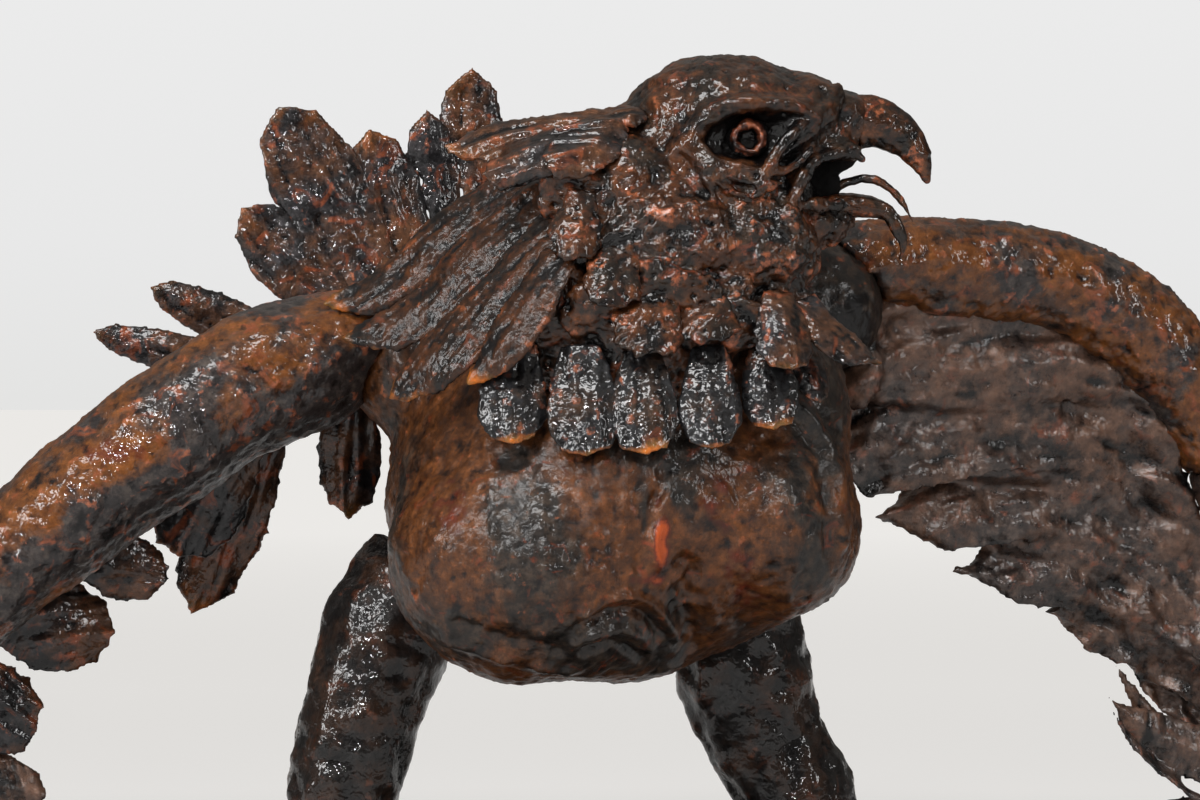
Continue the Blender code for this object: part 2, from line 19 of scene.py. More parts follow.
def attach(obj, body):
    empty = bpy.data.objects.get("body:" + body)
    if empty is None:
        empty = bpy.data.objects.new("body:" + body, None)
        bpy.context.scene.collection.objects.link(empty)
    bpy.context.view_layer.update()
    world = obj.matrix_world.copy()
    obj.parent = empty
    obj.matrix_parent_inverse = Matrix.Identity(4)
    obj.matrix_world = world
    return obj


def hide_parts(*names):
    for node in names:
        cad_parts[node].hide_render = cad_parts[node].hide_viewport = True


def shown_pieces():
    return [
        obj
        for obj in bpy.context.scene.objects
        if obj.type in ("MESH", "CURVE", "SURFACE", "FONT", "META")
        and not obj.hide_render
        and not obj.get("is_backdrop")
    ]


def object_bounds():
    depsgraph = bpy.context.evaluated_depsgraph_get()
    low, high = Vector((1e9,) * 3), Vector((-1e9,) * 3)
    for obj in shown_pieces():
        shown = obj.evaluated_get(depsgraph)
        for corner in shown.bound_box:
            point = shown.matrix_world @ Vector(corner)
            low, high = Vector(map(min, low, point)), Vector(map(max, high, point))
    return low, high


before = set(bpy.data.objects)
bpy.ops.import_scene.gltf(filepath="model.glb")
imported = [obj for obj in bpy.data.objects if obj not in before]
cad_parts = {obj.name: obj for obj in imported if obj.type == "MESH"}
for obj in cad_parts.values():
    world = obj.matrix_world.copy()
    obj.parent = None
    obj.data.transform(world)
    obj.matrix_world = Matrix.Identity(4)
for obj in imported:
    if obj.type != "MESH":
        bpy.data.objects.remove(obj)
cad_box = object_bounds()
print("loaded", len(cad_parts), "solids")

# %% [markdown]
# Every place on the figure is given as the camera sees it: x and z in millimetres on a plane through the figure's
# middle, and a depth behind that plane. The function carries such a point back along its own line of sight, so a mark
# that is measured in the picture lands on the same spot of the solid.

# %% Points on the figure
MM = 0.001
EYE = Vector((-0.012, -3.0, 0.4023))
BASE_TOP = 0.0183


def at(x, z, depth=0.0):
    seen = Vector((x * MM, 0.0, z * MM + BASE_TOP))
    return EYE + (seen - EYE) * (depth * MM - EYE.y) / -EYE.y


print("eye of the bird at", [round(value, 3) for value in at(77, 541, -94)])

# %% [markdown]
# ## Even skins
#
# A weld bead is a rod of metal laid along a line. One ring of edges is extruded from point to point, turned and scaled
# as it goes, and both ends are closed.

# %% A weld bead along a line
BEAD_SIDES = 8
THINNEST_MM = 0.2


def smooth_line(points, steps):
    """More points, on a smooth curve through the given ones."""
    line = []
    for i in range(len(points) - 1):
        a, b = points[i], points[i + 1]
        before = points[max(i - 1, 0)]
        after = points[min(i + 2, len(points) - 1)]
        for step in range(steps):
            t = step / steps
            bent = (2 * before - 5 * a + 4 * b - after) * t * t + (3 * a - before - 3 * b + after) * t ** 3
            line.append(a + 0.5 * ((b - before) * t + bent))
    return line + [points[-1]]


def bead(points, radii_mm, steps=4, flat=1.0, facing=(0, -1, 0)):
    path = smooth_line([Vector(point) for point in points], steps)
    sizes = smooth_line([Vector((radius, 0, 0)) for radius in radii_mm], steps)
    bm = bmesh.new()
    place, edges = None, None
    for i, here in enumerate(path):
        ahead = (path[min(i + 1, len(path) - 1)] - path[max(i - 1, 0)]).normalized()
        side = ahead.cross(Vector(facing)).normalized()
        up = side.cross(ahead)
        radius = max(sizes[i].x, THINNEST_MM) * MM
        columns = Matrix((side * radius, up * radius * flat, ahead * radius)).transposed()
        new_place = Matrix.Translation(here) @ columns.to_4x4()
        if place is None:
            bmesh.ops.create_circle(bm, cap_ends=True, segments=BEAD_SIDES, radius=1.0, matrix=new_place)
            edges = bm.edges[:]
        else:
            made = bmesh.ops.extrude_edge_only(bm, edges=edges)["geom"]
            verts = [item for item in made if isinstance(item, bmesh.types.BMVert)]
            ring = set(verts)
            edges = [edge for edge in bm.edges if set(edge.verts) <= ring]
            bmesh.ops.transform(bm, matrix=new_place @ place.inverted(), verts=verts)
        place = new_place
    bmesh.ops.contextual_create(bm, geom=edges)
    bmesh.ops.recalc_face_normals(bm, faces=bm.faces)
    mesh = bpy.data.meshes.new("bead")
    bm.to_mesh(mesh)
    bm.free()
    return mesh


# %% [markdown]
# A ball of weld metal is the other thing that is laid on. It is a sphere, squashed to its three radii.

# %% A ball of weld metal
def ball(place, radii_mm, turn=(0.0, 0.0, 0.0)):
    bm = bmesh.new()
    bmesh.ops.create_icosphere(bm, subdivisions=3, radius=MM)
    squash = Matrix.Diagonal((*radii_mm, 1.0))
    lean = Matrix.LocRotScale(None, Euler([math.radians(angle) for angle in turn]), None)
    bmesh.ops.transform(bm, matrix=Matrix.Translation(place) @ lean @ squash, verts=bm.verts)
    mesh = bpy.data.meshes.new("ball")
    bm.to_mesh(mesh)
    bm.free()
    return mesh


# %% [markdown]
# A CAD solid is loose triangles of very different sizes, which can't carry fine relief. A copy is merged, what is laid
# on it is put beside it, and a voxel Remesh melts all of them into one closed skin of small even quads. That is also
# what weld metal does to the real pieces. Smooth then takes the facets out. Several solids that the welder ran together
# become one skin.

# %% One skin from solids and what is laid on them
MERGE = 0.00001


def apply_modifiers(piece):
    """Puts the mesh that the piece's modifiers make in place of the modifiers."""
    graph = bpy.context.evaluated_depsgraph_get()
    mesh = bpy.data.meshes.new_from_object(piece.evaluated_get(graph), depsgraph=graph)
    piece.modifiers.clear()
    piece.data = mesh


def melted(name, meshes, voxel_mm, smoothing):
    bm = bmesh.new()
    for mesh in meshes:
        bm.from_mesh(mesh)
    whole = bpy.data.meshes.new(name)
    bm.to_mesh(whole)
    bm.free()
    piece = bpy.data.objects.new(name, whole)
    bpy.context.scene.collection.objects.link(piece)
    melt = piece.modifiers.new("melted together", "REMESH")
    melt.mode = "VOXEL"
    melt.voxel_size = voxel_mm * MM * 1.0
    soften = piece.modifiers.new("softened", "SMOOTH")
    soften.factor = 0.5
    soften.iterations = smoothing
    apply_modifiers(piece)
    piece.data.shade_smooth()
    return piece


def merged_copy(node):
    bm = bmesh.new()
    bm.from_mesh(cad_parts[node].data)
    bmesh.ops.remove_doubles(bm, verts=bm.verts, dist=MERGE)
    mesh = bpy.data.meshes.new(node + "_copy")
    bm.to_mesh(mesh)
    bm.free()
    return mesh


def skin(name, nodes, voxel_mm, smoothing, laid_on=()):
    piece = melted(name, [merged_copy(node) for node in nodes] + list(laid_on), voxel_mm, smoothing)
    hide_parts(*nodes)
    return piece


# %% [markdown]
# ## Relief
#
# The hand work is a height for every point of a skin, in millimetres, that moves the point along its normal. Each kind
# of mark is one field of heights at its real size. Hammer marks are shallow bowls side by side: the squared distance to
# the nearest of many scattered centres gives just that. Weld metal is the other way round, small domes run into each
# other, with sharp pits where gas escaped. A fold or a seam is a line, and its field falls away from the line.

# %% Fields of heights
def read(piece, what, width=3):
    flat = np.empty(len(piece.data.vertices) * width, np.float32)
    piece.data.vertices.foreach_get(what, flat)
    return flat.reshape(-1, width).astype(float)


def waves(points, size_mm, turn=0.0):
    """Smooth swells between -1 and 1. size_mm is one size, or three, one for each axis."""
    return np.array([noise.noise(place) for place in (points / (np.array(size_mm) * MM) + turn).tolist()])


def bowls(points, size_mm, turn=0.0):
    """0 in the middle of each hammer mark and about 1 on the ridges between them."""
    places = (points / (np.array(size_mm) * MM) + turn).tolist()
    return np.array([noise.voronoi(place)[0][0] for place in places]).clip(0.0, 1.0) ** 2


def pits(points, size_mm, share, turn=0.0):
    """1 in the bottom of a pit and 0 away from it. share is how much of its cell a pit fills."""
    return (1.0 - np.sqrt(bowls(points, size_mm, turn)) / share).clip(0.0, 1.0)


def round_about(points, place, radii_mm):
    """1 at a place, falling away over three radii."""
    return np.exp(-(((points - np.array(place)) / (np.array(radii_mm) * MM)) ** 2).sum(1))


# %% [markdown]
# Folds, seams and stains were measured in the picture, so their fields are worked out there too. Each point is carried
# along its line of sight onto the plane through the figure's middle, and its distance is taken in that plane. Whoever
# uses such a field on a closed form fades it out where the surface turns away, or it marks the far side as well.

# %% Fields of heights in the picture's plane
def seen(points):
    """Where the camera sees each point, as x, 0 and z in millimetres on the plane through the figure's middle."""
    run = points - np.array(EYE)
    onto = np.array(EYE) + run * (-EYE.y / run[:, 1])[:, None]
    return np.stack((onto[:, 0] / MM, np.zeros(len(points)), (onto[:, 2] - BASE_TOP) / MM), 1)


CURVE_STEPS = 6


def beside(spots, path, width):
    """1 on a curve through the x and z of the path, falling away over a width."""
    line = smooth_line([Vector((x, 0.0, z)) for x, z in path], CURVE_STEPS)
    far = np.full(len(spots), 1e9)
    for a, b in zip(line, line[1:]):
        start, run = np.array(a), np.array(b - a)
        share = ((spots - start) @ run / max(run @ run, 1e-9)).clip(0.0, 1.0)
        far = np.minimum(far, np.linalg.norm(spots - start - share[:, None] * run, axis=1))
    return np.exp(-(far / width) ** 2)


def spot(spots, x, z, wide, high):
    """1 at x and z, falling away over two radii."""
    return np.exp(-((spots[:, 0] - x) / wide) ** 2 - ((spots[:, 2] - z) / high) ** 2)


# %% [markdown]
# A plate of sheet steel is hammered through, so both its faces move together, the way that the plate faces. The CAD
# plate is a fan of flat facets. Its heights are averaged over a finer grid, with both faces in one average, which turns
# the facets into one smooth dish and leaves its thickness alone.

# %% The directions of a plate, and its facets smoothed out
GRID = 1.5  # mm, a cell of the grid
FACET_REACH = 7.0  # mm, how far the average reaches


def plate_axes(piece, root, front=(0.0, -1.0, 0.2)):
    """Along the plate from its root to its tip, across it, and the way that it faces."""
    points, normals = read(piece, "co"), read(piece, "normal")
    facing = np.linalg.eigh(normals.T @ normals)[1][:, 2]
    facing = facing if facing @ np.array(front) > 0 else -facing
    flat = points - points.mean(0)
    flat -= np.outer(flat @ facing, facing)
    along = np.linalg.eigh(flat.T @ flat)[1][:, 2]
    if along @ (points.mean(0) - np.array(root)) < 0:
        along = -along
    return along, np.cross(facing, along), facing


def spread_out(grid, reach):
    """A grid blurred in both directions. reach is in cells."""
    down, across = [np.exp(-0.5 * ((np.arange(size)[:, None] - np.arange(size)) / reach) ** 2) for size in grid.shape]
    return down @ grid @ across


def even_out(piece, axes):
    points = read(piece, "co")
    u, v, height = points @ axes[0], points @ axes[1], points @ axes[2]
    u, v = (u - u.min()) / (GRID * MM) + 2, (v - v.min()) / (GRID * MM) + 2
    bends = np.stack((np.ones_like(u), u, v, u * u, u * v, v * v, u ** 3, u * u * v), 1)
    height = height - bends @ np.linalg.lstsq(bends, height, rcond=None)[0]
    shape = (int(u.max()) + 4, int(v.max()) + 4)
    counts, heights = np.zeros(shape), np.zeros(shape)
    cells = (np.rint(u).astype(int), np.rint(v).astype(int))
    np.add.at(counts, cells, 1.0)
    np.add.at(heights, cells, height)
    raw = spread_out(heights, 1.0) / (spread_out(counts, 1.0) + 1e-9)
    wide = FACET_REACH / GRID
    change = spread_out(heights, wide) / (spread_out(counts, wide) + 1e-9) - raw
    low_u, low_v = u.astype(int), v.astype(int)
    du, dv = u - low_u, v - low_v
    step = (change[low_u, low_v] * (1 - du) * (1 - dv) + change[low_u + 1, low_v] * du * (1 - dv)
            + change[low_u, low_v + 1] * (1 - du) * dv + change[low_u + 1, low_v + 1] * du * dv)
    move(piece, step[:, None] * axes[2])


# %% [markdown]
# Four values are kept on every point for the materials: how high it stands (relief), which is pushed down where shade
# is painted black, how near it is to a cut rim (rim), how near it is to the plate's tip (tip), and whether the patina
# there is darker or redder than elsewhere, or painted shade lies on it (tone).

# %% Moving the points and keeping what the materials read
RIM_BAND = 3.0  # mm, how far a torch cut shows
RIM_TURN = 0.35  # a point whose normal leans less than this towards the plate's facing is on its cut edge
RIM_EVERY = 3  # one edge point in three is enough to measure from


def move(piece, offsets):
    """Moves the points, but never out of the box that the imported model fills."""
    points = (read(piece, "co") + offsets).clip(np.array(cad_box[0]), np.array(cad_box[1]))
    piece.data.vertices.foreach_set("co", points.astype(np.float32).ravel())
    piece.data.update()


def keep(piece, **fields):
    for name in ("relief", "rim", "tip", "tone"):
        layer = piece.data.attributes.get(name) or piece.data.attributes.new(name, "FLOAT", "POINT")
        values = fields.get(name, np.zeros(len(piece.data.vertices)))
        layer.data.foreach_set("value", np.asarray(values, np.float32))


def share_of_range(values):
    low, high = np.percentile(values, 3), np.percentile(values, 97)
    return ((values - low) / max(high - low, 1e-9)).clip(0.0, 1.0)


def near_rim(points, normals, facing):
    edge = points[np.abs(normals @ facing) < RIM_TURN][::RIM_EVERY]
    tree = kdtree.KDTree(len(edge))
    for i, point in enumerate(edge.tolist()):
        tree.insert(point, i)
    tree.balance()
    far = np.array([tree.find(point)[2] for point in points.tolist()])
    return np.exp(-far / (RIM_BAND * MM))


# %% [markdown]
# Now the three ways of working the metal. A feather plate is dished, hammered in small marks, and scored along its
# length for the barbs. Its cut rim is melted by the torch and runs in and out.

# %% A hammered feather plate
def hammer_plate(piece, root, dish_mm=1.3, mark_mm=0.5, barb_mm=0.55, turn=0.0, flow=None, dots=(), even=True,
                 ragged_mm=1.6, fine_mm=0.2, pit_mm=0.2, barb_width=1.0):
    axes = plate_axes(piece, root)
    if even:
        even_out(piece, axes)
    points, normals = read(piece, "co"), read(piece, "normal")
    along = points @ axes[0]
    run = flow(points) if flow else np.stack((along, points @ axes[1], points @ axes[2]), 1)
    marks = mark_mm * (bowls(run, (11.0, 7.0, 30.0), turn) + 0.9 * bowls(run, (22.0, 12.0, 60.0), turn + 5.0))
    barbs = barb_mm * (waves(run, (34.0, 4.2 * barb_width, 60.0), turn)
                       + 0.7 * waves(run, (26.0, 8.5 * barb_width, 60.0), turn + 3.0))
    through = dish_mm * waves(points, 24.0, turn) + marks + barbs
    rim = near_rim(points, normals, axes[2])
    fine = fine_mm * waves(points, 3.2, turn) - pit_mm * pits(points, 8.0, 0.22, turn)
    fine += 0.5 * pits(points, 12.0, 0.2, turn)
    outward = normals - np.outer(normals @ axes[2], axes[2])
    ragged = rim * (ragged_mm * waves(points, 9.0, turn) + 0.5 * ragged_mm * waves(points, 4.0, turn))
    places = seen(points) if dots else None
    for x, z in dots:
        fine += 0.9 * (spot(places, x, z, 3.6, 3.6) > 0.4) * (normals @ axes[2] > 0.3)
    move(piece, (through * MM)[:, None] * axes[2] + (fine * MM)[:, None] * normals + (ragged * MM)[:, None] * outward)
    tip = (along - along.min()) / (along.max() - along.min())
    keep(piece, relief=share_of_range(marks + barbs + 1.3 * fine), rim=rim, tip=tip)


# %% [markdown]
# A shell is beaten from inside and out, so it swells slowly and carries larger, softer marks. Spatter from the torch
# sits on it as small beads. Folds are pressed into the side that faces the camera only.

# %% A beaten shell
def front_of(normals):
    """1 where a surface faces the camera, falling to 0 where it turns away."""
    return (-2.0 * normals[:, 1]).clip(0.0, 1.0)


def beat_shell(piece, swell_mm=1.0, mark_mm=0.6, turn=0.0, folds=(), spatter=0.5, fine_mm=0.25, tone=None):
    points, normals = read(piece, "co"), read(piece, "normal")
    marks = mark_mm * (bowls(points, 17.0, turn) + 0.5 * bowls(points, 9.0, turn + 7.0))
    fine = fine_mm * (waves(points, 6.5, turn) + 0.6 * waves(points, 3.4, turn))
    fine += spatter * pits(points, 8.0, 0.24, turn) * (waves(points, 34.0, turn) > 0.1)
    fine -= 0.7 * pits(points, 19.0, 0.12, turn)
    height = swell_mm * waves(points, 46.0, turn) + marks + fine
    places, front = seen(points), front_of(normals)
    for path, width_mm, rise_mm in folds:
        height += 1.3 * rise_mm * beside(places, path, width_mm) * front * (1.0 + 0.9 * waves(points, 9.0, turn))
    move(piece, (height * MM)[:, None] * normals)
    darker = tone(points, normals) if tone else np.zeros(len(points))
    # Where the tone passes 2, above all on the shoulder under the throat, the relief is pushed down so that the hollow
    # black covers it: painted shade there.
    relief = share_of_range(0.5 * marks + 1.4 * fine) - (darker - 2.0).clip(0.0, 1.0)
    keep(piece, relief=relief, tone=darker)


# %% [markdown]
# Weld metal is laid on drop by drop. Each drop sets as a dome, the domes run into each other in two sizes, and gas that
# escapes while they set leaves sharp pits. where says how strongly a place is worked, holes are pushed in, and black
# lists the places that are painted black as shade, such as deep eye sockets and the inside of the mouth.

# %% A skin built up in weld
def build_up(piece, dome_mm=0.9, pit_mm=1.1, dome_size=7.0, lump_mm=0.7, turn=0.0, where=None, holes=(), black=()):
    points, normals = read(piece, "co"), read(piece, "normal")
    strength = where(points) if where else np.ones(len(points))
    domes = dome_mm * (1.0 - bowls(points, dome_size, turn)) + 0.4 * dome_mm * waves(points, 3.4, turn)
    domes += 0.6 * dome_mm * (1.0 - bowls(points, dome_size * 2.1, turn + 4.0))
    lumps = lump_mm * waves(points, 14.0, turn)
    sunk = pit_mm * (pits(points, 8.5, 0.28, turn) + 0.8 * pits(points, 5.2, 0.2, turn + 2.0))
    height = (domes + lumps - sunk - dome_mm) * strength
    for place, radius_mm, depth_mm in holes:
        height -= depth_mm * round_about(points, place, (radius_mm,) * 3)
    move(piece, (height * MM)[:, None] * normals)
    relief = share_of_range(height + 0.25 * waves(points, 3.0, turn))
    # Painted shade: the relief is pushed down at these places, so the hollow black of the finish covers them.
    for place, radii_mm in black:
        relief -= 1.2 * round_about(points, place, radii_mm)
    keep(piece, relief=relief)


# %% [markdown]
# ## Materials
#
# Nearly everything on the bird is the same steel, and what differs is what was done to it: brown rust fixed with oil on
# the beaten shells, blue-black heat scale on the cut plates, and copper that shows wherever the wire wheel touched a
# high spot. A coat of clear lacquer lies over all of it but the painted shade in the mouth, and gives the sharp
# highlights.
#
# Colours are written as hex values, as a paint chart gives them, and one function turns them to the linear values that
# a render works in. One small function adds a node.

# %% Colour and node helpers
def linear(hex_colour):
    parts = [int(hex_colour[i:i + 2], 16) / 255 for i in (1, 3, 5)]
    return (*[part / 12.92 if part <= 0.04045 else ((part + 0.055) / 1.055) ** 2.4 for part in parts], 1.0)


def add(tree, kind, inputs=None, stops=None, **settings):
    """Adds a node. Inputs are values, or the sockets that feed it; stops are a ramp's positions and colours."""
    node = tree.nodes.new(kind)
    for name, value in settings.items():
        setattr(node, name, value)
    for name, value in (inputs or {}).items():
        if isinstance(value, bpy.types.NodeSocket):
            tree.links.new(value, node.inputs[name])
        else:
            node.inputs[name].default_value = value
    for i, (position, colour) in enumerate(sorted(stops or (), key=lambda stop: stop[0])):
        if i >= len(node.color_ramp.elements):
            node.color_ramp.elements.new(position)
        node.color_ramp.elements[i].position = position
        node.color_ramp.elements[i].color = colour
    return node


def grey(value):
    return (value, value, value, 1.0)


def per(size_mm):
    """The scale of a pattern whose marks are that many millimetres apart."""
    return 1.0 / (size_mm * MM)


# %% [markdown]
# One recipe serves all the finishes. Patches of brown and blue-black lie over each other at the size that they have on
# the piece, a fine mottle breaks them up, red copper wash lies in smaller spots, black lies in the hollows, partly oil
# and partly painted shade, copper shines on the high spots, and the tips that the torch heated last are straw orange.
# The lacquer ran a little before it set, so its film has soft waves of its own, and they break a lamp's reflection into
# glints.

# %% The lacquered steel recipe
MOTTLE_MM = 8.0
SPECK_MM = 2.6  # real rust dust is far finer than the render can show, so it is drawn this coarse
FILM_MM = 4.4
SKIN_DEEP_MM = 1.6
GRAIN_DEEP_MM = 0.5
FILM_DEEP_MM = 1.1
UNDER_LACQUER = 0.1  # the lacquer does the mirroring, and hardly any is left for the rust below it


def lacquered_steel(name, brown, dark, copper, patch_mm, brown_share, wear, black, wash=0.25, wash_mm=13.0, orange=0.0,
                    rough=0.42, metal=0.35, stretch=(1.0, 1.0, 1.0), oil_and_shade_black="#070505", coat=0.5, coat_rough=0.03):
    made = bpy.data.materials.new(name)
    made.use_nodes = True
    tree = made.node_tree
    shader = tree.nodes["Principled BSDF"]
    where = add(tree, "ShaderNodeTexCoord").outputs["Object"]
    drawn = add(tree, "ShaderNodeMapping", {"Vector": where, "Scale": stretch}).outputs["Vector"]
    relief = add(tree, "ShaderNodeAttribute", attribute_name="relief").outputs["Fac"]
    rim = add(tree, "ShaderNodeAttribute", attribute_name="rim").outputs["Fac"]
    tip = add(tree, "ShaderNodeAttribute", attribute_name="tip").outputs["Fac"]
    tone = add(tree, "ShaderNodeAttribute", attribute_name="tone").outputs["Fac"]

    patches = add(tree, "ShaderNodeTexNoise", {"Vector": drawn, "Scale": per(patch_mm), "Detail": 8.0,
                                               "Roughness": 0.66})
    mottle = add(tree, "ShaderNodeTexNoise", {"Vector": where, "Scale": per(MOTTLE_MM), "Detail": 7.0,
                                              "Roughness": 0.7})
    speck = add(tree, "ShaderNodeTexNoise", {"Vector": where, "Scale": per(SPECK_MM), "Detail": 4.0,
                                             "Roughness": 0.72})
    spots = add(tree, "ShaderNodeTexNoise", {"Vector": where, "Scale": per(wash_mm), "Detail": 4.0,
                                             "Roughness": 0.6, "Distortion": 0.8})

    toned = add(tree, "ShaderNodeMath", {0: tone, 1: -0.2, 2: patches.outputs["Fac"]}, operation="MULTIPLY_ADD")
    edge = 0.5 + 0.24 * (0.5 - brown_share)
    is_brown = add(tree, "ShaderNodeValToRGB", {"Fac": toned.outputs[0]},
                   stops=[(edge - 0.07, grey(0.0)), (edge + 0.07, grey(1.0))])
    browns = add(tree, "ShaderNodeValToRGB", {"Fac": mottle.outputs["Fac"]},
                 stops=[(0.32, linear(brown[0])), (0.5, linear(brown[1])), (0.68, linear(brown[2]))])
    darks = add(tree, "ShaderNodeValToRGB", {"Fac": mottle.outputs["Fac"]},
                stops=[(0.34, linear(dark[0])), (0.5, linear(dark[1])), (0.66, linear(dark[2]))])
    ground = add(tree, "ShaderNodeMix", {0: is_brown.outputs["Color"], 6: darks.outputs["Color"],
                                         7: browns.outputs["Color"]}, data_type="RGBA")

    washed = add(tree, "ShaderNodeValToRGB", {"Fac": spots.outputs["Fac"]},
                 stops=[(0.68 - 0.3 * wash, grey(0.0)), (0.82 - 0.3 * wash, grey(0.8))])
    red = add(tree, "ShaderNodeMix", {0: washed.outputs["Color"], 6: ground.outputs[2], 7: linear(copper[0])},
              data_type="RGBA")
    flaky = add(tree, "ShaderNodeMath", {0: mottle.outputs["Fac"], 1: 1.6, 2: tone}, operation="MULTIPLY_ADD")
    rust = add(tree, "ShaderNodeMapRange", {"Value": flaky.outputs[0], "From Min": 0.4, "From Max": -0.2})
    rust_depth = add(tree, "ShaderNodeMapRange", {"Value": flaky.outputs[0], "From Min": -0.1, "From Max": -0.7})
    rusts = add(tree, "ShaderNodeValToRGB", {"Fac": rust_depth.outputs["Result"]},
                stops=[(0.0, linear("#4e1c0c")), (1.0, linear("#963f15"))])
    rusty = add(tree, "ShaderNodeMix", {0: rust.outputs["Result"], 6: red.outputs[2], 7: rusts.outputs["Color"]},
                data_type="RGBA")

    high = add(tree, "ShaderNodeMath", {0: relief, 1: mottle.outputs["Fac"]}, operation="MULTIPLY")
    worn = add(tree, "ShaderNodeMath", {0: rim, 1: 0.12, 2: high.outputs[0]}, operation="MULTIPLY_ADD")
    shows = add(tree, "ShaderNodeValToRGB", {"Fac": worn.outputs[0]},
                stops=[(0.56 - 0.24 * wear, grey(0.0)), (0.74 - 0.22 * wear, grey(0.9))])
    coppery = add(tree, "ShaderNodeMix", {0: shows.outputs["Color"], 6: rusty.outputs[2], 7: linear(copper[1])},
                  data_type="RGBA")

    # The black of the hollows: low relief takes the hollow colour, partly oil in the pits and partly painted shade in
    # recesses. Where the relief was pushed down for it, it is painted shade alone.
    low = add(tree, "ShaderNodeMath", {0: relief, 1: 0.65}, operation="MULTIPLY")
    lower = add(tree, "ShaderNodeMath", {0: mottle.outputs["Fac"], 1: 0.45, 2: low.outputs[0]},
                operation="MULTIPLY_ADD")
    stays = add(tree, "ShaderNodeValToRGB", {"Fac": lower.outputs[0]},
                stops=[(0.16 + 0.24 * black, grey(1.0)), (0.38 + 0.28 * black, grey(0.0))])
    oiled = add(tree, "ShaderNodeMix", {0: stays.outputs["Color"], 6: coppery.outputs[2], 7: linear(oil_and_shade_black)},
                data_type="RGBA")
    colour = oiled.outputs[2]
    if orange:
        heat = add(tree, "ShaderNodeMath", {0: patches.outputs["Fac"], 1: 0.55, 2: tip}, operation="MULTIPLY_ADD")
        hot = add(tree, "ShaderNodeMath", {0: rim, 1: 0.10, 2: heat.outputs[0]}, operation="MULTIPLY_ADD")
        straw = add(tree, "ShaderNodeMapRange", {"Value": hot.outputs[0], "From Min": 1.22, "From Max": 1.36,
                                                 "To Max": orange})
        straws = add(tree, "ShaderNodeValToRGB", {"Fac": mottle.outputs["Fac"]},
                     stops=[(0.4, linear("#6b4a22")), (0.6, linear("#a8591a"))])
        colour = add(tree, "ShaderNodeMix", {0: straw.outputs["Result"], 6: colour, 7: straws.outputs["Color"]},
                     data_type="RGBA").outputs[2]
    gloss = add(tree, "ShaderNodeMapRange", {"Value": mottle.outputs["Fac"], "From Min": 0.3, "From Max": 0.7,
                                             "To Min": rough - 0.08, "To Max": rough + 0.14})
    lacquer = add(tree, "ShaderNodeMapRange", {"Value": patches.outputs["Fac"], "From Min": 0.35, "From Max": 0.65,
                                               "To Min": coat_rough, "To Max": 2 * coat_rough})
    skin_bump = add(tree, "ShaderNodeBump", {"Height": mottle.outputs["Fac"], "Strength": 0.6,
                                             "Distance": SKIN_DEEP_MM * MM})
    grain = add(tree, "ShaderNodeBump", {"Height": speck.outputs["Fac"], "Strength": 0.5,
                                         "Distance": GRAIN_DEEP_MM * MM, "Normal": skin_bump.outputs["Normal"]})
    runs_down = add(tree, "ShaderNodeTexNoise", {"Vector": where, "Scale": per(FILM_MM), "Detail": 1.5,
                                                 "Distortion": 0.6})
    film = add(tree, "ShaderNodeBump", {"Height": runs_down.outputs["Fac"], "Strength": 0.7,
                                        "Distance": FILM_DEEP_MM * MM})
    tree.links.new(colour, shader.inputs["Base Color"])
    tree.links.new(gloss.outputs["Result"], shader.inputs["Roughness"])
    tree.links.new(lacquer.outputs["Result"], shader.inputs["Coat Roughness"])
    tree.links.new(grain.outputs["Normal"], shader.inputs["Normal"])
    tree.links.new(film.outputs["Normal"], shader.inputs["Coat Normal"])
    shader.inputs["Metallic"].default_value = metal
    shader.inputs["Specular IOR Level"].default_value = UNDER_LACQUER
    shader.inputs["Coat Weight"].default_value = coat
    return made


# %% [markdown]
# Eleven finishes follow. Each takes three browns, three blacks and two coppers, the size of its patches in millimetres,
# how much of it is brown, how far it is worn to copper, and how much black it holds in its hollows, which is partly oil
# and partly painted shade.

# %% The finishes
# Sheet that was left to rust, rubbed with oil and lacquered thinly: warm brown clouds with a broad dull sheen.
RUSTED_SHELL = lacquered_steel(
    "oiled_rust_on_beaten_steel", ("#22110a", "#43250f", "#62381a"), ("#100f0e", "#211b17", "#3a2e25"),
    ("#6a2d14", "#8a4a2d"), 52, 0.85, 0.25, 0.08, wash=0.26, rough=0.44, metal=0.2, stretch=(1.0, 1.0, 0.5), coat=0.4,
    coat_rough=0.17)
# The same rust on the arms, less of it: brighter brown and blue-black in smaller patches, with sharper glints.
ARM_SHELL = lacquered_steel(
    "oiled_rust_on_beaten_wing", ("#371d0c", "#553012", "#6f411c"), ("#141212", "#262120", "#423a35"),
    ("#733a20", "#935236"), 34, 0.62, 0.46, 0.12, wash=0.40, rough=0.40, metal=0.25)
# Torch-cut plate with its heat scale left on: blue-black, with straw orange at the tips.
FIRE_SCALE = lacquered_steel(
    "fire_scale_on_cut_steel", ("#281910", "#3f2718", "#573824"), ("#0d0d0e", "#1b1a1b", "#343132"),
    ("#74391f", "#8a4d33"), 36, 0.42, 0.3, 0.34, wash=0.42, wash_mm=15.0, orange=0.4, rough=0.34, metal=0.5)
# The same scale rubbed back on the neck feathers: darker and browner, and duller, as it has less lacquer.
HACKLE_SCALE = lacquered_steel(
    "fire_scale_on_neck_feathers", ("#1f0f05", "#2f1808", "#4a270f"), ("#080504", "#120c08", "#21170f"),
    ("#5a2c1a", "#7a4226"), 30, 0.6, 0.28, 0.6, wash=0.3, wash_mm=12.0, orange=1.0, rough=0.5, metal=0.2, coat=0.35,
    coat_rough=0.14)
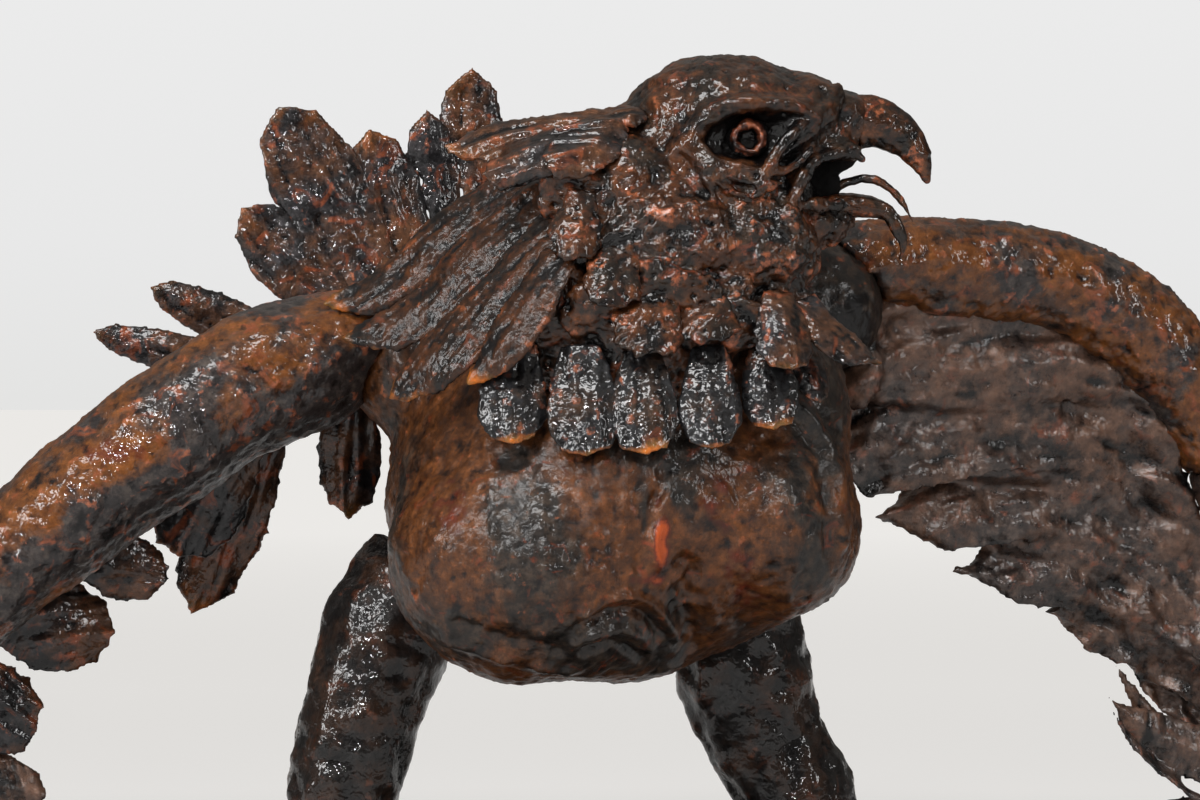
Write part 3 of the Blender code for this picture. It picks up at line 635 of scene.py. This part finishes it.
# Scale under thick smooth lacquer: nearly black, and full of white glints.
COLLAR_SCALE = lacquered_steel(
    "lacquered_fire_scale_on_collar", ("#1c120b", "#2c1d12", "#3e2a1b"), ("#0a0a0b", "#151516", "#262628"),
    ("#5a2c1a", "#7d4730"), 26, 0.3, 0.34, 0.5, wash=0.34, wash_mm=12.0, orange=1.0, rough=0.4, metal=0.3, coat=0.6,
    coat_rough=0.05)
# Sheet that took the heat evenly: grey brown, low in contrast, with a wide soft sheen.
WING_SCALE = lacquered_steel(
    "fire_scale_on_wing_sheet", ("#33221a", "#4d372b", "#64493a"), ("#1c1817", "#342c29", "#50443e"),
    ("#683a28", "#784b3a"), 46, 0.48, 0.25, 0.3, wash=0.32, rough=0.30, metal=0.5, coat=0.6, coat_rough=0.16)
# Run-up weld, washed with copper: red on the domes and black between them.
WELD_METAL = lacquered_steel(
    "copper_washed_weld_metal", ("#241106", "#3b200f", "#5a3319"), ("#0c0806", "#1b130d", "#33251b"),
    ("#703620", "#9a5537"), 22, 0.48, 0.46, 0.6, wash=0.34, wash_mm=10.0, rough=0.38, metal=0.4, coat_rough=0.05)
# Weld over tube, oiled heavily: dark, with little copper, and glossy.
LEG_METAL = lacquered_steel(
    "oiled_rust_on_weld_metal", ("#170e08", "#24160e", "#352217"), ("#0a0909", "#131110", "#1f1b1a"),
    ("#432213", "#573222"), 34, 0.42, 0.28, 0.5, wash=0.3, rough=0.36, metal=0.3)
# Copper turned on a lathe: the only clean red metal, bright on the ring and black in the bore.
COPPER = lacquered_steel(
    "bare_turned_copper", ("#3a180d", "#552717", "#6e3822"), ("#140a07", "#2c160e", "#482618"),
    ("#6a331d", "#8c5036"), 7, 0.5, 0.42, 0.85, wash=0.3, rough=0.34, metal=0.6)
# Rolled plate, oiled: plain dark brown in large patches.
BASE_STEEL = lacquered_steel(
    "oiled_base_plate", ("#1c140e", "#2a1e16", "#382820"), ("#131110", "#1e1b1a", "#2c2826"),
    ("#3d2619", "#44322a"), 60, 0.4, 0.1, 0.0, wash=0.2, rough=0.45, metal=0.5, coat_rough=0.15)
# Painted shade for the inside of the mouth: dull black with no lacquer over it, which gives the mouth its depth.
MOUTH_SHADE = lacquered_steel(
    "soot_black_inside_the_mouth", ("#060404", "#0a0706", "#0f0a08"), ("#040404", "#070606", "#0a0909"),
    ("#120b08", "#140c08"), 20, 0.4, 0.1, 0.5, wash=0.1, rough=0.8, metal=0.0, coat=0.0)
print("made", len(bpy.data.materials), "materials")


def dress(piece, material):
    piece.data.materials.clear()
    piece.data.materials.append(material)
    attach(piece, "root")


# %% [markdown]
# ## The body
#
# The breast is one big shell, beaten from sheet in two halves and welded up the front, so it swells and dips slowly,
# with soft hammer marks. Many rounds of Smooth take the CAD facets out of it. The folds of the belly and the cleft
# between its two lobes are lines, pressed in or raised. The patina on it has darker streaks and redder spots, which are
# soft round stains. Two of the dark spots, in and beside a pressed fold, are painted shade, and so is the dark shoulder
# in the hollow between the arm and the throat.

# %% The stains on the body, and painted shade
# Two of these, at (34, 332) and (15, 308), are painted shade in and beside a pressed fold; the rest are darker streaks.
dark_streaks_and_shade = [  # x, z, wide, high, strength
    (-63, 306, 17, 52, 1.4), (34, 332, 9, 15, 1.2), (15, 308, 4.5, 26, 1.2), (117, 318, 16, 62, 1.2),
    (4, 236, 56, 20, 1.0), (-138, 316, 9, 70, 1.0), (0, 352, 95, 9, 0.7), (-100, 250, 30, 14, 0.6),
]
rust_spots = [
    (88, 262, 26, 12, -0.3), (-100, 318, 15, 22, -0.62), (24, 302, 5.5, 22, -1.9), (50, 321, 6, 6, -0.9),
    (74, 281, 11, 16, -0.9), (16, 276, 10, 4, -0.9), (-34, 344, 14, 12, -0.55), (80, 356, 22, 12, -0.5),
    (60, 330, 8, 30, -0.5),
]


def body_stains_and_shade(points, normals):
    """The stains of the breast, and painted shade by a fold and on the shoulder under the throat, at the back too."""
    places, tone = seen(points), np.zeros(len(points))
    for x, z, wide, high, strength in dark_streaks_and_shade + rust_spots:
        tone += strength * spot(places, x, z, wide, high)
    # Painted shade: the shoulder lies in the dark hollow between the arm and the throat, and it isn't faded at the
    # back.
    shoulder_shade = 3.4 * spot(places, 138, 425, 26, 38)
    return shoulder_shade + tone * front_of(normals) * (1.0 + 0.9 * waves(points, 9.0))


# %% [markdown]
# Each fold is a path in x and z, its width, and how far it rises, or sinks where the number is negative. All three are
# in millimetres.

# %% Body
belly_folds = [
    ([(-22, 256), (-9, 264), (9, 266), (24, 257), (35, 240)], 2.6, 3.4),
    ([(-25, 247), (-6, 256), (12, 256), (24, 244)], 3.0, -4.2),
    ([(-28, 238), (-12, 245), (6, 246), (18, 236)], 2.4, 3.2),
    ([(-22, 232), (-2, 237), (12, 230)], 2.6, -3.0),
    ([(42, 282), (38, 262), (43, 240)], 8.5, -6.5),
    ([(26, 342), (21, 324), (15, 300), (12, 284)], 3.4, -2.6),
    ([(32, 338), (27, 320), (21, 298), (24, 284)], 2.6, 1.8),
    ([(-104, 242), (-72, 230), (-36, 223), (0, 218), (36, 225)], 2.6, 2.6),
    ([(-96, 250), (-64, 240), (-36, 234)], 4.0, -2.2),
    ([(-135, 300), (-122, 270), (-102, 246)], 7.0, 1.8),
    ([(-80, 360), (-76, 310), (-72, 264)], 2.2, 1.3),
    ([(-48, 356), (-46, 320), (-44, 280)], 2.0, 0.9),
    ([(104, 386), (122, 360), (133, 330), (134, 296)], 3.0, 2.4),
    ([(96, 380), (114, 356), (124, 322), (126, 290)], 4.0, -2.2),
    ([(96, 350), (104, 310), (100, 270)], 7.0, 1.6),
    ([(58, 336), (70, 316), (72, 292), (80, 280)], 2.2, 1.3),
    ([(68, 284), (78, 276), (84, 284)], 2.6, 1.8),
]
body = skin("body_beaten", ["body_shell"], 2.45, 80)
beat_shell(body, 2.4, 0.9, folds=belly_folds, tone=body_stains_and_shade, spatter=0.9, fine_mm=1.0)
dress(body, RUSTED_SHELL)
print("body skin", len(body.data.vertices), "points")

# %% [markdown]
# ## The head and neck
#
# Head and neck are built up in weld and run into one. The brow, the lids, the lips of the beak and the strut in front
# of the eye are beads laid one by one, on both sides. Balls of weld fill the cheek and the throat, and flat scales of
# weld lie over the near cheek down to the collar.

# %% Head and neck
HEAD_DEPTH = -58.0


def face_line(points, radii, side, **shape):
    """A bead on the head. The third number of a point is how far out from the head's middle it lies."""
    path = [at(x, z, HEAD_DEPTH + side * out) for x, z, out in points]
    return bead(path, radii, facing=(0, side, 0), **shape)


laid = []
for side in (-1.0, 1.0):
    laid += [
        # the brow, the lower lid, and the folds of skin under and behind the eye
        face_line([(38, 545, 43), (60, 560, 47), (84, 562, 47), (108, 559, 41), (121, 551, 35)],
                  (3.0, 4.2, 4.6, 4.2, 2.6), side),
        face_line([(44, 541, 46), (60, 527, 50), (84, 521, 51), (104, 524, 44), (116, 536, 38)],
                  (1.8, 2.5, 2.7, 2.5, 1.8), side),
        face_line([(50, 536, 49), (62, 520, 53), (84, 513, 53), (98, 514, 47)], (1.4, 2.2, 2.2, 1.4), side),
        face_line([(52, 528, 51), (62, 512, 53), (80, 505, 53)], (1.4, 2.1, 1.4), side),
        face_line([(46, 534, 48), (52, 516, 51), (60, 500, 52)], (1.4, 2.2, 1.6), side),
        # the strut in front of the eye, the upper and the lower lip, and the corner of the jaw
        face_line([(131, 573, 15), (124, 560, 27), (110, 549, 39), (98, 538, 47), (88, 522, 52), (82, 506, 52)],
                  (2.6, 3.6, 3.8, 3.6, 3.0, 2.2), side),
        face_line([(146, 528, 17), (138, 533, 21), (128, 532, 26), (118, 528, 32), (110, 520, 38), (106, 507, 41),
                   (104, 498, 41)], (2.0, 2.6, 2.8, 3.0, 3.2, 3.2, 2.6), side),
        face_line([(104, 502, 40), (116, 501, 33), (130, 501, 24), (144, 499, 15)], (2.6, 3.0, 2.8, 2.0), side),
        face_line([(98, 500, 44), (104, 486, 42), (108, 474, 34)], (3.4, 5.0, 3.4), side),
        # the cheek and the throat
        ball(at(30, 480, HEAD_DEPTH + side * 44), (46, 22, 30)),
        ball(at(72, 478, HEAD_DEPTH + side * 34), (42, 22, 32)),
        ball(at(102, 474, HEAD_DEPTH + side * 16), (17, 16, 22)),
        ball(at(4, 512, HEAD_DEPTH + side * 34), (34, 22, 30)),
    ]
laid.append(ball(at(133, 552, HEAD_DEPTH), (17, 17, 19)))  # the root of the beak
weld_scales = [  # x, z, depth, wide, high, lean
    (-30, 508, -104, 15, 17, 20), (-12, 516, -104, 13, 12, 30), (-6, 494, -109, 14, 16, 24),
    (-22, 484, -109, 14, 18, 16), (0, 466, -118, 16, 17, 10), (-30, 458, -113, 14, 18, 12),
    (20, 450, -121, 16, 15, 0), (42, 446, -119, 16, 13, -8), (64, 446, -112, 15, 12, -14),
    (86, 452, -100, 13, 13, -20), (14, 488, -114, 14, 14, 14), (34, 470, -117, 13, 13, 6),
    (-14, 436, -122, 17, 16, 6), (-38, 432, -112, 15, 18, 10), (66, 428, -114, 20, 14, -10),
    (100, 448, -88, 11, 14, -24),
]
for x, z, depth, wide, high, lean in weld_scales:
    laid.append(ball(at(x, z, depth + 1.5), (wide * 1.25, 4.5, high * 1.2), (16, lean, 0)))


def on_the_cheek(points):
    """Weld lumps stand high on the cheek and throat and stay low on the crown and round the eye."""
    socket = sum(round_about(points, at(77, 541, HEAD_DEPTH + side * 44), (30, 20, 15)) for side in (-1.0, 1.0))
    cheek = ((at(0, 526).z - points[:, 2]) / 0.03).clip(0.0, 1.0)
    return (0.8 + 0.8 * cheek) * (1.0 - 0.5 * socket)


nostrils = [(at(135, 554, HEAD_DEPTH + side * 17), 3.4, 3.4) for side in (-1.0, 1.0)]
# The eye sockets and the mouth are painted black as shade.
shaded_sockets = [(at(81, 541, HEAD_DEPTH + side * 38), (31, 12, 13)) for side in (-1.0, 1.0)]
mouth = [(at(118, 516, HEAD_DEPTH), (26, 34, 14))]
head = skin("head_and_neck_weld", ["head", "neck_shell"], 1.45, 5, laid)
build_up(head, 1.4, 2.4, 6.5, 2.2, where=on_the_cheek, holes=nostrils, black=shaded_sockets + mouth)
dress(head, WELD_METAL)
print("head skin", len(head.data.vertices), "points")

# %% [markdown]
# The beak is forged solid and then filed, so it is smoother than the skull. Behind it the mouth is closed by a thin
# web, painted dull black as the shade inside the mouth.

# %% Beak and mouth
torn_lip = bead([at(148, 503, HEAD_DEPTH - 3), at(160, 497, HEAD_DEPTH - 4), at(167, 486, HEAD_DEPTH - 4),
                 at(170, 477, HEAD_DEPTH - 3), at(168, 468, HEAD_DEPTH - 2)], (3.4, 5.0, 4.4, 2.6, 0.8), flat=0.6)
for name, laid_on in (("beak_upper", ()), ("beak_lower", (torn_lip,)), ("tongue", ())):
    piece = skin(name + "_filed", [name], 1.0, 5, laid_on)
    build_up(piece, 0.6, 1.0, 5.0, 1.0)
    dress(piece, WELD_METAL)

# Painted shade: a web put where the open mouth is in shade, in a dull black.
web = [ball(at(113, 516, HEAD_DEPTH), (20, 6, 13), (0, 14, 0)), ball(at(124, 525, HEAD_DEPTH), (20, 5, 8), (0, -24, 0))]
lining = melted("mouth_lining", web, 1.5, 2)
build_up(lining, 1.2, 1.2, 6.0, 3.0)
dress(lining, MOUTH_SHADE)
print("mouth lining", len(lining.data.vertices), "points")

# %% [markdown]
# An eye is a turned copper ring round a bored pupil, so its profile is spun round its axis. The real ring isn't quite
# round, so its skin is moved a little, and it is bright on its crest alone.

# %% Eyes
PUPIL = ((0.0, -5.0), (4.8, -4.6))
RING = ((5.4, 2.0), (6.2, 5.2), (7.8, 6.6), (9.4, 5.6), (11.2, 3.0), (12.0, 0.0), (12.0, -7.0))
EYE_OUT = 37.0  # mm from the head's middle


def turned_eye(name, node, side):
    bm = bmesh.new()
    profile = (*PUPIL, *RING, (0.0, -7.0))
    knots = [bm.verts.new((radius * MM, 0.0, height * MM)) for radius, height in profile]
    edges = [bm.edges.new(pair) for pair in zip(knots, knots[1:])]
    bmesh.ops.spin(bm, geom=knots + edges, cent=(0, 0, 0), axis=(0, 0, 1), angle=math.tau, steps=40, use_merge=True)
    bmesh.ops.remove_doubles(bm, verts=bm.verts, dist=MERGE)
    bmesh.ops.recalc_face_normals(bm, faces=bm.faces)
    seat = at(77, 541, HEAD_DEPTH + side * EYE_OUT)
    outwards = Matrix.Rotation(math.radians(-90.0 * side), 4, "X")
    bmesh.ops.transform(bm, matrix=Matrix.Translation(seat) @ outwards, verts=bm.verts)
    mesh = bpy.data.meshes.new(name)
    bm.to_mesh(mesh)
    bm.free()
    piece = melted(name, [mesh], 0.8, 2)
    points, normals = read(piece, "co"), read(piece, "normal")
    move(piece, ((1.5 * waves(points, 7.0, side) + 0.9 * waves(points, 3.0)) * MM)[:, None] * normals)
    out = np.abs(points[:, 1] - seat.y)
    around = np.linalg.norm((points - np.array(seat))[:, (0, 2)], axis=1)
    worn = (out / (7.0 * MM)).clip(0.0, 1.0) + 0.9 * waves(points, 4.0, side)
    keep(piece, relief=worn * (around > 5.6 * MM) * (around < 10.6 * MM))
    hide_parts(node)
    dress(piece, COPPER)


turned_eye("eye_right_turned", "eye_right", -1.0)
turned_eye("eye_left_turned", "eye_left", 1.0)
print("eyes turned, rings", 2 * RING[-1][0], "mm across")

# %% [markdown]
# ## Cut plates
#
# Every feather is a plate cut from sheet with a torch, hammered hollow and welded on. The collar plates carry the round
# dots of their plug welds, and one tail feather the weld where its neighbour laps it. Each plate starts its patterns at
# another number, so no two are alike.

# %% Collar, throat, chin, hackles and tail
NAPE = at(30, 500, -60)
BREAST_TOP = at(20, 520, -100)
RUMP = at(-100, 390, 270)
plug_welds = [(-68, 382), (-74, 397), (-52, 414), (-25, 402), (12, 400), (-26, 384), (-18, 366), (-60, 368), (-44, 392),
              (22, 384), (-66, 406), (6, 372)]
plates = [(f"collar_plate_{i}", 1.2, BREAST_TOP, plug_welds) for i in range(1, 6)]  # name, voxel, root, dots
plates += [(f"chin_plate_{i}", 1.2, at(95, 450, -90), ()) for i in range(1, 4)]
plates += [(f"hackle_{i}", 1.7, NAPE, ()) for i in range(1, 5)]
plates += [(f"tail_feather_{i}", 2.0, RUMP, ()) for i in range(1, 10)]
overlap = {"tail_feather_4": [bead([at(-198, 498, 264), at(-178, 476, 263), at(-156, 452, 262)], (6, 8, 6), flat=0.3)]}
finishes = {"hackle": HACKLE_SCALE, "collar": COLLAR_SCALE}
for number, (name, voxel, root, dots) in enumerate(plates):
    piece = skin(name + "_cut", [name], voxel, 8, overlap.get(name, ()))
    hammer_plate(piece, root, 2.0, 0.5, 0.9, turn=number * 1.7, dots=dots, fine_mm=0.5)
    dress(piece, finishes.get(name.split("_")[0], FIRE_SCALE))
print("cut", len(plates), "plates")

# %% [markdown]
# The throat plates are nearly lost under weld. They are worked twice, first as plates and then as built-up metal.

# %% Throat plates
for i in range(1, 5):
    piece = skin(f"throat_plate_{i}_run_over", [f"throat_plate_{i}"], 1.3, 5)
    hammer_plate(piece, BREAST_TOP, 2.4, turn=i * 3.1, ragged_mm=5.0)
    build_up(piece, 0.6, 1.6, 6.5, 1.2, turn=i * 3.1)
    dress(piece, WELD_METAL)
print("last throat plate", len(piece.data.vertices), "points")

# %% [markdown]
# The far neck feathers, the mantle between neck and tail, and the slit crest are each one solid of several plates or
# lobes. Such a group has no single dish to smooth, so its facets are left to the Smooth modifier, and only the marks
# and barbs are added.

# %% Groups of feathers that are welded into one
for name, root in (("nape_hackles", NAPE), ("mantle", NAPE)):
    piece = skin(name + "_cut", [name], 1.9, 10)
    hammer_plate(piece, root, 2.0, 0.5, 1.1, even=False)
    dress(piece, HACKLE_SCALE)
piece = skin("crest_cut", ["crest"], 1.5, 9)
hammer_plate(piece, at(20, 540, -70), 2.4, 0.5, 1.6, even=False, ragged_mm=4.0)
dress(piece, FIRE_SCALE)
print("crest skin", len(piece.data.vertices), "points")

# %% [markdown]
# ## The wings
#
# Each wing hangs from an arm, a tube of beaten sheet. The near one has a blue-black band along its length, and both
# have dark clouds.

# %% Arms
def arm_tone(points, normals):
    """The blue-black band along the near arm, on its front and its back, and dark clouds on both arms."""
    places = seen(points)
    band = beside(places, [(-150, 388), (-204, 364), (-252, 338), (-300, 310), (-348, 278), (-384, 250)], 17)
    rust = spot(places, -196, 402, 26, 12) + spot(places, -300, 352, 30, 8)
    return (1.5 * band - 0.5 * rust) * (1.0 + 0.8 * waves(points, 16.0)) + 0.9 * waves(points, 44.0)


for name, fine, spatter in (("arm_left", 1.8, 1.8), ("arm_right", 1.0, 1.3)):
    piece = skin(name + "_beaten", [name], 2.5, 34)
    beat_shell(piece, 4.0, 1.2, spatter=spatter, fine_mm=fine, tone=arm_tone)
    dress(piece, ARM_SHELL)
    print(name, len(piece.data.vertices), "points")

# %% [markdown]
# Under the bird's left arm the vane is six wide plates, run together with weld along their upper edges, so from the
# front they read as one hammered sheet with a stepped edge. Its ridges follow the plates, in arcs about a point below
# the wrist. Under the right arm the six plates stay apart.

# %% Vanes and hands
ARC_RADIUS = 0.15  # metres, turns an angle about that point into a length


def in_arcs(points):
    """Along, across and through the arcs that the plates of the left vane follow, in metres."""
    middle = at(236, 176, 100)
    dx, dz = points[:, 0] - middle.x, points[:, 2] - middle.z
    return np.stack((np.arctan2(dz, dx) * ARC_RADIUS, np.hypot(dx, dz), points[:, 1]), 1)


weld_run = bead([at(116, 424, 36), at(142, 428, 50), at(164, 440, 58), at(200, 440, 70), at(244, 430, 84),
                 at(286, 410, 98), at(318, 382, 108), at(338, 352, 116)], (15, 17, 11, 10, 10, 10, 10, 8))
runs = [weld_run, ball(at(140, 402, 42), (18, 8, 26))]
for path in (((140, 390, 52), (178, 391, 64), (218, 386, 76), (262, 374, 90)),
             ((192, 346, 83), (226, 347, 90), (256, 344, 101), (288, 338, 113)),
             ((226, 299, 103), (250, 301, 108), (280, 300, 118), (308, 291, 125)),
             ((262, 261, 118), (286, 262, 124), (314, 258, 130), (334, 250, 132))):
    runs.append(bead([at(*place) for place in path], (8, 14, 14, 9), flat=0.7))
vane = skin("vane_left_sheet", [f"vane_left_{i}" for i in range(1, 7)], 2.1, 12, runs)
hammer_plate(vane, at(0, 420, 60), 6.0, 2.6, 4.0, flow=in_arcs, even=False, ragged_mm=3.0, barb_width=2.4,
             fine_mm=0.5)
dress(vane, WING_SCALE)
for name in ("hand_left", "hand_right"):
    piece = skin(name + "_cut", [name], 2.0, 4)
    hammer_plate(piece, at(0, 420, 0), 1.6, 0.6, 1.0, even=False)
    dress(piece, WING_SCALE)
for i in range(1, 7):
    piece = skin(f"vane_right_{i}_cut", [f"vane_right_{i}"], 1.8, 6)
    hammer_plate(piece, at(-150, 420, 30), 3.0, 0.8, 1.6, turn=i * 2.3, ragged_mm=5.0)
    dress(piece, FIRE_SCALE)
print("left vane", len(vane.data.vertices), "points")

# %% [markdown]
# ## Legs, feet and base
#
# The legs are tubes with coarse weld run over them, in larger drops than on the head. The picture ends at the shanks,
# so the feet and the base below are guessed. The base is a flat plate, whose CAD shape is right as it is, so it stays
# and gets a finish only.

# %% Legs, feet and base
for name, voxel in (("leg_left", 2.9), ("leg_right", 2.9), ("foot_left", 2.5), ("foot_right", 2.5)):
    piece = skin(name + "_weld", [name], voxel, 14)
    build_up(piece, 1.3, 1.5, 11.0, 2.6)
    dress(piece, LEG_METAL)
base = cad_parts["base"]
base.data.materials.clear()
base.data.materials.append(BASE_STEEL)
print("base finish:", BASE_STEEL.name)

# %% [markdown]
# ## Floor, light and camera
#
# A pale floor and a pale sky of nearly the same brightness leave hardly a horizon line, as in a photographer's sweep.
# Such a floor is lit on its own, so here it glows a little, and the lamps can stay low enough to keep the dark metal
# dark. What the metal mirrors is dim too, apart from the top, and only what the lens sees directly is pale all over.

# %% Sky
world = bpy.data.worlds.new("pale studio")
world.use_nodes = True
sky = world.node_tree
heading = add(sky, "ShaderNodeTexCoord").outputs["Generated"]
up = add(sky, "ShaderNodeSeparateXYZ", {"Vector": heading}).outputs["Z"]
lighting = add(sky, "ShaderNodeValToRGB", {"Fac": up},
               stops=[(0.0, linear("#403e3c")), (0.25, linear("#5e5c59")), (0.6, linear("#a09c97")),
                      (0.95, linear("#bfbab4"))])
backdrop = add(sky, "ShaderNodeValToRGB", {"Fac": up},
               stops=[(0.0, linear("#e4e4e3")), (0.03, linear("#e8e8e8")), (0.08, linear("#ebebeb"))])
camera_ray = add(sky, "ShaderNodeLightPath").outputs["Is Camera Ray"]
shown = add(sky, "ShaderNodeMix", {0: camera_ray, 6: lighting.outputs["Color"], 7: backdrop.outputs["Color"]},
            data_type="RGBA")
sky.links.new(shown.outputs[2], sky.nodes["Background"].inputs["Color"])
sky.nodes["Background"].inputs["Strength"].default_value = 1.0
bpy.context.scene.world = world
bpy.context.scene.view_settings.view_transform = "Standard"

# %% [markdown]
# The floor is a wide disc of matt paint, and it glows more the further out it is, to meet the sky.

# %% Floor
FLOOR_RADIUS = 200.0
GLOW_RAMP = 20.0  # metres of floor that the ramp's 0 to 1 stands for
bm = bmesh.new()
bmesh.ops.create_circle(bm, cap_ends=True, segments=64, radius=FLOOR_RADIUS)
floor_mesh = bpy.data.meshes.new("floor")
bm.to_mesh(floor_mesh)
bm.free()
floor = bpy.data.objects.new("floor", floor_mesh)
bpy.context.scene.collection.objects.link(floor)
paint = bpy.data.materials.new("matt_white_studio_floor")
paint.use_nodes = True
matt = paint.node_tree.nodes["Principled BSDF"]
matt.inputs["Base Color"].default_value = grey(0.5)
matt.inputs["Roughness"].default_value = 0.9
matt.inputs["Emission Color"].default_value = linear("#fdfcfa")
sweep = paint.node_tree
out = add(sweep, "ShaderNodeVectorMath", {0: add(sweep, "ShaderNodeTexCoord").outputs["Object"]}, operation="LENGTH")
share = add(sweep, "ShaderNodeMath", {0: out.outputs["Value"], 1: 1.0 / GLOW_RAMP}, operation="MULTIPLY")
glow = add(sweep, "ShaderNodeValToRGB", {"Fac": share.outputs[0]},
           stops=[(0.0, grey(0.06)), (0.11, grey(0.45)), (0.2, grey(0.52)), (0.6, grey(0.65))])
sweep.links.new(glow.outputs["Color"], matt.inputs["Emission Strength"])
floor.data.materials.append(paint)
floor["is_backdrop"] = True

# %% [markdown]
# Soft lights stand to the left, above and to the right, and their reflections draw the hammer marks. Two small bare
# lamps beside the lens give the sharp white glints in the lacquer. One more box lights the back, with a grid in front
# of it that narrows its beam. The metal doesn't mirror that one, or it would glare along the bird's outline.

# %% Lamps
AIM = Vector((0.0, 0.0, 0.38))
OPEN = 180  # degrees, the fan of a lamp with no grid
for name, place, size, watts, fan in (
    ("left soft box", (-2.1, -1.4, 1.2), (0.4, 1.2), 34, OPEN),
    ("upper left box", (-1.5, -2.2, 1.7), (0.55, 0.55), 24, OPEN),
    ("top soft box", (-0.3, -1.2, 2.3), (1.2, 0.5), 40, OPEN),
    ("right soft box", (2.0, -1.7, 1.3), (0.3, 1.0), 18, OPEN),
    ("front lamp", (-0.7, -2.7, 1.5), (0.12, 0.12), 18, OPEN),
    ("glint lamp", (0.45, -2.8, 1.4), (0.09, 0.09), 7, OPEN),
    ("back box with a grid", (0.9, 2.6, 1.5), (0.6, 0.6), 2.0, 36),
):
    lamp = bpy.data.lights.new(name, "AREA")
    lamp.shape = "RECTANGLE"
    lamp.size, lamp.size_y = size
    lamp.energy = watts
    lamp.spread = math.radians(fan)
    stand = bpy.data.objects.new(name, lamp)
    stand.location = place
    stand.rotation_euler = (AIM - Vector(place)).to_track_quat("-Z", "Y").to_euler()
    stand.visible_glossy = fan == OPEN
    bpy.context.scene.collection.objects.link(stand)

# %% [markdown]
# The picture looks flat, as one taken from some way off with a long lens does, so the camera stands three metres in
# front and looks straight ahead.

# %% Camera
lens = bpy.data.cameras.new("camera")
lens.lens = 150.0
lens.sensor_width = 36.0
camera = bpy.data.objects.new("camera", lens)
camera.location = EYE
camera.rotation_euler = (math.radians(90.0), 0.0, 0.0)
bpy.context.scene.collection.objects.link(camera)
bpy.context.scene.camera = camera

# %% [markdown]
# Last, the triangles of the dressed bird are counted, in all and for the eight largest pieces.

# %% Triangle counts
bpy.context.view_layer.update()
triangles = {piece.name: sum(len(face.vertices) - 2 for face in piece.data.polygons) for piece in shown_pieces()}
print("triangles in all", sum(triangles.values()))
for name in sorted(triangles, key=triangles.get)[-8:]:
    print("   ", name, triangles[name])
